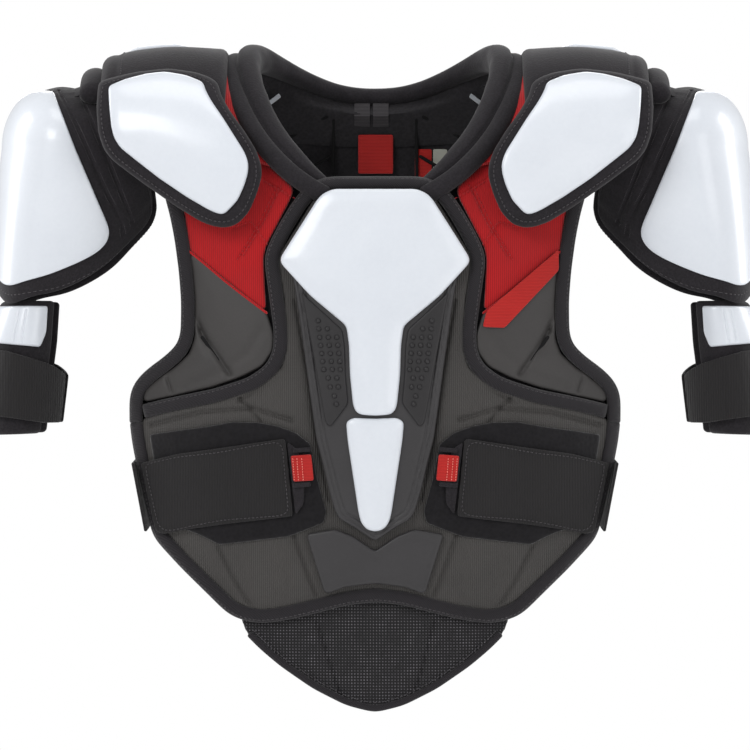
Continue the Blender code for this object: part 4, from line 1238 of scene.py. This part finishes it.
def neck(sd, w):
    yk = lambda v, l=14.0: over(np.array([(-114.0, x) for x in v], float), l)
    f = loft("neck_panel_red_" + w, [(-66, -106, -70), (-78, -98, -58), (-90, -88, -43), (-99, -74, -26), (-103, -56, -10),
                                     (-104, -36, 0)],
             np.concatenate([[(-98.0, -104.0, -62.0)], yk([22, 40, 58, 76, 96])]), 12, 3.0, M["red"], sd, 1.0)
    as_sheet(done(f, "torso"), "shoulder_yoke_" + w, "collar_roll")
    g = loft("neck_panel_black_" + w, [(-104, -36, 0), (-101, -8, 6), (-95, 18, 7), (-81, 44, 1), (-68, 60, -6)],
             yk([96, 125, 155, 185, 215]), 12, 3.0, M["black"], sd, 1.0)
    as_sheet(done(g, "torso"), "shoulder_yoke_" + w, "collar_roll")
    lobe = over(np.array([(-203.0, x) for x in np.linspace(48, 200, 26)], float), 10.0)
    lobe[:, 0] = -212.0
    lobe[:, 2] -= 3.0
    r_ = sweep("shoulder_lobe_" + w, lobe * (np.array([1, 1, 1]) if sd < 0 else np.array([-1, 1, 1])),
               lambda t, a: (10.0 * math.cos(a), 8.0 * math.sin(a)), M["black"], sides=26,
               side_dirs=[np.array([sd * 1.0, 0.0, 0.0])] * 26)
    PIECES.append(r_)
    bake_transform(r_)
    cpw = [(-192, 150), (-192, 205), (-146, 205), (-138, 150), (-150, 122), (-182, 122)]
    done(panel("yoke_plate_" + w, cpw, over, (24.2, 27.2), M["white"], s=4.0, r=2.0, crown=1.6, side=sd), "torso")


pair(neck)
XS = (-109, -97, -80, -60, -40, -20, 0, 20, 40, 60, 80, 97, 109)
low = rear(np.array([(x, z) for x, z in zip(XS, (-62, -50, -44, -42, -44, -45, -45, -45, -44, -42, -44, -50, -62))], float), -2.3)
mid = rear(np.array([(x, z) for x, z in zip(XS, (-42, -27, -12, -11, -17, -20, -21, -20, -17, -11, -12, -27, -42))], float), -2.6)
hi = [(-101, -6, 13), (-92, 18, 14), (-77, 42, 10), (-58, 59, 1), (-38, 69, -7), (-18, 74, -11), (0, 75, -11.5), (18, 74, -11), (38, 69, -7),
      (58, 59, 1), (77, 42, 10), (92, 18, 14), (101, -6, 13)]
as_sheet(done(loft("neck_lining", low, [mid, np.array(hi, float)], 21, 1.6, M["lining"]), "torso"), "back_panel", "collar_roll")

# ------------------------------------------------------------- clavicle plates
def clavs(sd, w):
    body = "clavicle_plate_" + w
    p = panel("clavicle_cover_" + w, CLAV, front, (27.0, 36.6), M["black"], s=3.4, r=4.0, crown=1.2, crown_width=8,
              side=sd, soften=3, r_in=2.0, height=lambda u, v, e, f: 0.2 * grain(u, v, 51, 6) * f)
    done(p, body, "clavicle_pad_" + w, pad=0.8, slot="black_fabric")
    s_ = panel("clavicle_moulding_" + w, CLAV_SHELL, front, (37.4, 40.6), M["white"], s=3.0, r=2.0, crown=2.6,
               crown_width=16, side=sd, soften=3, height=lambda u, v, e, f: 0.9 * np.clip(e / 6, 0, 1))
    done(s_, body, "clavicle_shell_" + w, slot="white_shell")
    o = smooth_outline(CLAV, 3.0, 3)
    c = o.mean(0)
    t = np.roll(o, -1, axis=0) - np.roll(o, 1, axis=0)
    t /= np.linalg.norm(t, axis=1)[:, None]
    a = 0.5 * np.sum(o[:, 0] * np.roll(o[:, 1], -1) - np.roll(o[:, 0], -1) * o[:, 1])
    q = o + np.stack([-t[:, 1], t[:, 0]], 1) * (3.4 if a > 0 else -3.4)
    done(stitches("clavicle_stitch_" + w, [np.concatenate([q, q[:1]])], front, 36.9, M["thread_dark"], side=sd), body)


pair(clavs)


# ------------------------------------------------------------------------ caps
def many(points, step=3.0):
    """The same line with a point every few mm."""
    p = np.array(points, float)
    out = [p[0]]
    for a, b in zip(p[:-1], p[1:]):
        n = max(1, int(np.linalg.norm(b - a) / step))
        out += [a + (b - a) * (k + 1) / n for k in range(n)]
    out = np.array(out)
    for _ in range(6):
        out[1:-1] = out[1:-1] * 0.5 + (out[:-2] + out[2:]) * 0.25
    return [tuple(q) for q in out.tolist()]


def chart_front(points, level):
    return cap_from_front(many(points), level)


CAP_REACH = [(-197, -16), (-187, -34), (-177, -58), (-170, -78), (-168, -94), (-173, -106)] + list(CAP_EDGE[6:])


def caps(sd, w):
    body = "cap_" + w
    o = cap_outline(many(CAP_REACH), 6.0, CAP_RIM, 5.0)
    seams = [chart_front([(-239, -8), (-225, -32), (-214, -56), (-204, -80), (-191, -106), (-190, -116)], 7.0),
             chart_front([(-222, -12), (-211, -36), (-200, -62), (-190, -88), (-183, -108)], 7.0)]
    seams += [[(-a, b) for a, b in s] for s in seams]
    p = panel("cap_cover_" + w, o, cap, (0.0, 8.6), M["black"], s=4.0, r=4.4, crown=0.8, crown_width=10, side=-sd,
              grooves=[(s, 1.5, 2.2) for s in seams], height=lambda u, v, e, f: 0.3 * grain(u, v, 61, 12) * f,
              r_in=2.0, dense=[(s[::4], 1.6) for s in seams], soften=9)
    done(p, body, "cap_pad_" + w, pad=0.7, slot="black_fabric")
    so = cap_outline(many(CAP_SHELL_EDGE), 3.0, CAP_SHELL_RIM, 11.0)
    crease = chart_front([(-252, -80), (-240, -84), (-230, -86)], 12.0)
    s_ = panel("cap_plate_" + w, so, cap, (9.6, 12.2), M["white"], s=3.4, r=1.8, crown=1.4, crown_width=16, side=-sd,
               soften=8, height=lambda u, v, e, f: 0.6 * np.clip(e / 6, 0, 1))
    done(s_, body, "cap_shell_" + w, slot="white_shell")
    po = smooth_outline(o, 3.0, 3)
    t = np.roll(po, -1, axis=0) - np.roll(po, 1, axis=0)
    t /= np.linalg.norm(t, axis=1)[:, None]
    a = 0.5 * np.sum(po[:, 0] * np.roll(po[:, 1], -1) - np.roll(po[:, 0], -1) * po[:, 1])
    q = po + np.stack([-t[:, 1], t[:, 0]], 1) * (5.0 if a > 0 else -5.0)
    sl = [np.concatenate([q, q[:1]])]
    for s in seams[:2]:
        sn = smooth_line(s, 3.0, 2)
        d = np.gradient(sn, axis=0)
        d /= np.linalg.norm(d, axis=1)[:, None]
        off = np.stack([-d[:, 1], d[:, 0]], 1) * 2.6
        sl += [sn + off, sn - off, (sn + off) * [-1, 1], (sn - off) * [-1, 1]]
    done(stitches("cap_stitch_" + w, sl, cap, 8.35, M["thread_dark"], side=-sd), body)


pair(caps)


# --------------------------------------------------------------- bicep guards
def arms(sd, w):
    body = "bicep_guard_" + w
    ps = -sd
    g = panel("bicep_cover_" + w, wide(BIC_PAD_O), bicep_mm, (0.0, 8.4), M["black"], s=3.4, r=3.6, crown=0.8,
              side=ps, r_in=2.0, height=lambda u, v, e, f: 0.2 * grain(u, v, 71, 8) * f)
    done(g, body, "bicep_pad_" + w, pad=0.7, slot="black_fabric")
    vg = [([(c, -168), (c, -203)], 0.7, 0.8) for c in (3, 12, 150, 141)]
    s_ = panel("bicep_plate_" + w, wide(BIC_SHELL_O), bicep_mm, (9.0, 11.6), M["white"], s=2.8, r=1.6, crown=0.8,
               side=ps, grooves=vg, dense=[(v_[0], 0.8) for v_ in vg])
    done(s_, body, "bicep_shell_" + w, slot="white_shell")
    b = panel("bicep_elastic_" + w, wide(BIC_STRAP_O), bicep_mm, (12.6, 15.2), M["elastic"], s=3.2, r=1.0, side=ps,
              height=lambda u, v, e, f: 0.25 * np.sin(u * 0.9 + v * 0.1) * f)
    done(b, body, "bicep_strap_" + w, slot="elastic")


pair(arms)

# ------------------------------------------------- fabric webs between the joints
def cap_x(y, z, level):
    q = max(1 - (abs(y) / (CAP_Y + level)) ** CAP_P - (abs(z - CAP_C[2]) / (CAP_DOWN + level)) ** CAP_P, 0.02)
    return CAP_C[0] + (CAP_OUT + level) * q ** (1 / CAP_P) + CAP_SHEAR * abs(z - CAP_C[2])


def webs(sd, w):
    ps = -sd
    lowp = bicep(np.array([(u, -180.0) for u in np.linspace(42, 138, 15)], float), -1.2)
    topp = np.array([(cap_x(p[1] * 1.05, -146.0, -1.6), p[1] * 1.05, -146.0) for p in lowp])
    g = loft("bicep_web_" + w, topp, [(topp + lowp) / 2 + [-0.6, 0, 0], lowp], 15, 1.6, M["black"], ps)
    PIECES.append(g)
    as_sheet(g, "cap_pad_" + w, "bicep_pad_" + w)
    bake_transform(g)
    inner_e = over(np.array([(-200.0, v) for v in np.linspace(62, 190, 21)], float), 3.0) * [-1, 1, 1]
    yy = np.linspace(-50, 50, 21)
    zz = CAP_C[2] + (CAP_UP + 3.0) * (1 - (np.abs(yy) / (CAP_Y + 3)) ** CAP_P) ** (1 / CAP_P)
    outer_e = np.stack([0 * yy + 240.0, yy, zz], 1)
    mid_e = (inner_e + outer_e) / 2 + [0, 0, 1.5]
    t = loft("shoulder_web_" + w, inner_e, [mid_e, outer_e], 19, 2.4, M["black"], ps)
    PIECES.append(t)
    as_sheet(t, "shoulder_yoke_" + w, "cap_pad_" + w)
    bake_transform(t)


pair(webs)

# ------------------------------------------------------------------------ back
BP = mirrored(BACK_HALF)
quilt = []
for k in range(-3, 9):
    quilt.append([(-150 + k * 42.0, -380), (10 + k * 42.0, -20)])
    quilt.append([(150 - k * 42.0, -380), (-10 - k * 42.0, -20)])


def quilting(u, v, e, f):
    pts = np.stack([u, v], 1)
    best = np.full(len(u), 99.0)
    for q in quilt:
        best = np.minimum(best, to_line(pts, q)[0])
    return (2.6 * (1 - np.exp(-best / 4.0)) - 1.6) * f


bk = panel("back_foam", BP, rear, (0.0, 10.4), M["grey"], s=3.6, r=2.0, crown=1.0, height=quilting)
done(bk, "torso", "back_panel", pad=0.7, slot="grey_foam")


def slab_fine(name, *a, **k):
    return panel(name, *a, **k)


inn = panel("back_lining", [(x * 0.965, -190 + (z + 190) * 0.965) for x, z in BP], rear, (-1.7, -0.3), M["lining"], s=4.0, r=0.4,
            crown=0.0)
done(inn, "torso")
for sd_, w_ in ((-1, "right"), (1, "left")):
    # near-black strips along the back lining seams: painted shade of the seam creases
    for k_, ln_k in enumerate(([(-92, -52), (-36, -22)], [(-92, -86), (-34, -52)], [(-80, -112), (-34, -84)],
                               [(-32, -24), (-33, -110)])):
        done(panel(f"back_seam_shade_{k_}_{w_}", ribbon(smooth_line(ln_k, 4.0, 1).tolist(), 1.3), rear, (-6.2, -3.0), M["slot"],
                   s=2.0, r=0.9, side=sd_), "torso")
    for k_, ln_k in enumerate(([(-82, -13), (-73, -7)], [(-68, -46), (-63, -42)])):
        done(panel(f"vent_slot_{k_}_{w_}", ribbon(ln_k, 1.5), rear, (-5.2, -4.0), M["white"], s=1.2, r=0.4, side=sd_,
                   soften=1), "torso")
tape("back_binding_tape", BACK_TAPE, rear, (-1.0, 14.0), 5.0, True, "torso", ["back_binding"], seed=15, rows=-1)
for nm, o, nd in (("spine_plate_top", SPINE_UP, "spine_plate_upper"), ("spine_plate_base", SPINE_DOWN, "spine_plate_lower")):
    s_ = panel(nm, mirrored(o), rear, (13.2, 17.6), M["white"], s=3.4, r=2.2, crown=2.2, crown_width=16, soften=3,
               height=lambda u, v, e, f: 1.2 * np.exp(-(u / 9.0) ** 2) * f)
    done(s_, "torso", nd, slot="white_shell")


def scap(sd, w):
    s_ = panel("scapula_cover_" + w, SCAPULA, rear, (13.2, 18.4), M["black"], s=3.6, r=3.0, crown=2.4, crown_width=14, side=sd,
               soften=3, grooves=[([(-70, -62), (-108, -190)], 1.4, 2.0), ([(-90, -60), (-124, -150)], 1.4, 2.0)])
    done(s_, "torso", "scapula_pad_" + w, pad=0.7, slot="black_fabric")


pair(scap)
for k_, (xa, xb) in enumerate(((-16.0, -4.0), (-1.5, 10.5))):
    done(loft(f"hanger_stub_{k_}", [(xa, 69.0, -12.0), (xb, 69.0, -12.0)],
              [rear(np.array([(xa, -22.0), (xb, -22.0)]), -4.6), rear(np.array([(xa, -31.0), (xb, -31.0)]), -4.4)], 9, 1.3,
              M["web"]), "torso")
hl = panel("hanger_webbing", [(x, min(z, -30.5)) for x, z in HANG], rear, (-5.0, -3.5), M["web"], s=1.6, r=0.5, soften=1)
done(hl, "hanger", "hanger_loop", slot="elastic")
ht = panel("hanger_label", [(-13, -66), (14, -66), (14, -36), (-13, -36)], rear, (-6.6, -5.2), M["redtab"], s=2.0,
           r=0.5, soften=1)
done(ht, "hanger", "hanger_tag", slot="red_tab")
sl_ = panel("inner_label", [(31, -47), (44, -47), (44, -76), (31, -76)], rear, (-4.4, -3.4), M["redtab"], s=2.0, r=0.4, soften=1)
done(sl_, "torso", "size_label", slot="red_tab")
sl2 = panel("inner_label_silver", [(45, -47), (56, -47), (56, -66), (45, -66)], rear, (-4.4, -3.4), M["silver"], s=2.0, r=0.4, soften=1)
done(sl2, "torso")

# ======================================================================
# camera, floor, light
# ======================================================================
scene = bpy.context.scene
scene.view_settings.view_transform = "Standard"
scene.view_settings.look = "None"
cam_d = bpy.data.cameras.new("camera")
cam = bpy.data.objects.new("camera", cam_d)
scene.collection.objects.link(cam)
DIST = 4.0
cam.location = (0.0, -0.115 - DIST, -0.222)
cam.rotation_euler = (math.radians(90), 0, 0)
cam_d.sensor_width = 36.0
cam_d.lens = 36.0 * DIST / 0.555
cam_d.clip_end = 60
scene.camera = cam

bm = bmesh.new()
bmesh.ops.create_circle(bm, cap_ends=True, segments=96, radius=14.0)
fm = bpy.data.meshes.new("floor")
bm.to_mesh(fm)
bm.free()
floor = bpy.data.objects.new("floor", fm)
floor.location = (0, 0, -0.56)
scene.collection.objects.link(floor)
m = bpy.data.materials.new("floor")
m.use_nodes = True
nt = m.node_tree
b = nt.nodes["Principled BSDF"]
b.inputs["Base Color"].default_value = (0.9, 0.9, 0.9, 1)
b.inputs["Roughness"].default_value = 0.9
em = node(nt, "ShaderNodeEmission")
em.inputs["Color"].default_value = (1, 1, 1, 1)
mix = node(nt, "ShaderNodeMixShader")
tc = node(nt, "ShaderNodeTexCoord")
ln_ = node(nt, "ShaderNodeVectorMath", operation="LENGTH")
nt.links.new(tc.outputs["Object"], ln_.inputs[0])
mr = node(nt, "ShaderNodeMapRange")
mr.inputs["From Min"].default_value = 0.35
mr.inputs["From Max"].default_value = 0.75
nt.links.new(ln_.outputs["Value"], mr.inputs["Value"])
nt.links.new(mr.outputs["Result"], mix.inputs[0])
nt.links.new(b.outputs[0], mix.inputs[1])
nt.links.new(em.outputs[0], mix.inputs[2])
nt.links.new(mix.outputs[0], nt.nodes["Material Output"].inputs["Surface"])
fm.materials.append(m)

world = bpy.data.worlds.new("studio")
scene.world = world
world.use_nodes = True
wt = world.node_tree
bg = wt.nodes["Background"]
bg.inputs["Color"].default_value = (1, 1, 1, 1)
bg.inputs["Strength"].default_value = 0.42
bg2 = node(wt, "ShaderNodeBackground")
bg2.inputs["Color"].default_value = (1, 1, 1, 1)
lp = node(wt, "ShaderNodeLightPath")
mx = node(wt, "ShaderNodeMixShader")
wt.links.new(lp.outputs["Is Camera Ray"], mx.inputs[0])
wt.links.new(bg.outputs[0], mx.inputs[1])
wt.links.new(bg2.outputs[0], mx.inputs[2])
wt.links.new(mx.outputs[0], wt.nodes["World Output"].inputs["Surface"])


def area(name, loc, target, size, power):
    d = bpy.data.lights.new(name, "AREA")
    d.shape = "RECTANGLE"
    d.size, d.size_y = size
    d.energy = power
    o = bpy.data.objects.new(name, d)
    o.location = loc
    o.rotation_euler = (Vector(target) - Vector(loc)).to_track_quat("-Z", "Y").to_euler()
    scene.collection.objects.link(o)


area("key", (-1.1, -1.9, 0.9), (0, -0.1, -0.2), (0.9, 0.9), 19)
area("fill", (1.5, -1.7, 0.2), (0, -0.1, -0.25), (1.0, 1.4), 9)
area("top", (0, -0.3, 1.6), (0, 0, -0.1), (1.4, 0.9), 11)
area("rim_left", (-1.5, 0.5, 0.2), (-0.1, 0, -0.2), (0.5, 1.4), 12)
area("rim_right", (1.5, 0.5, 0.2), (0.1, 0, -0.2), (0.5, 1.4), 12)
area("back", (0, 1.9, 0.7), (0, 0, -0.2), (1.2, 1.0), 14)
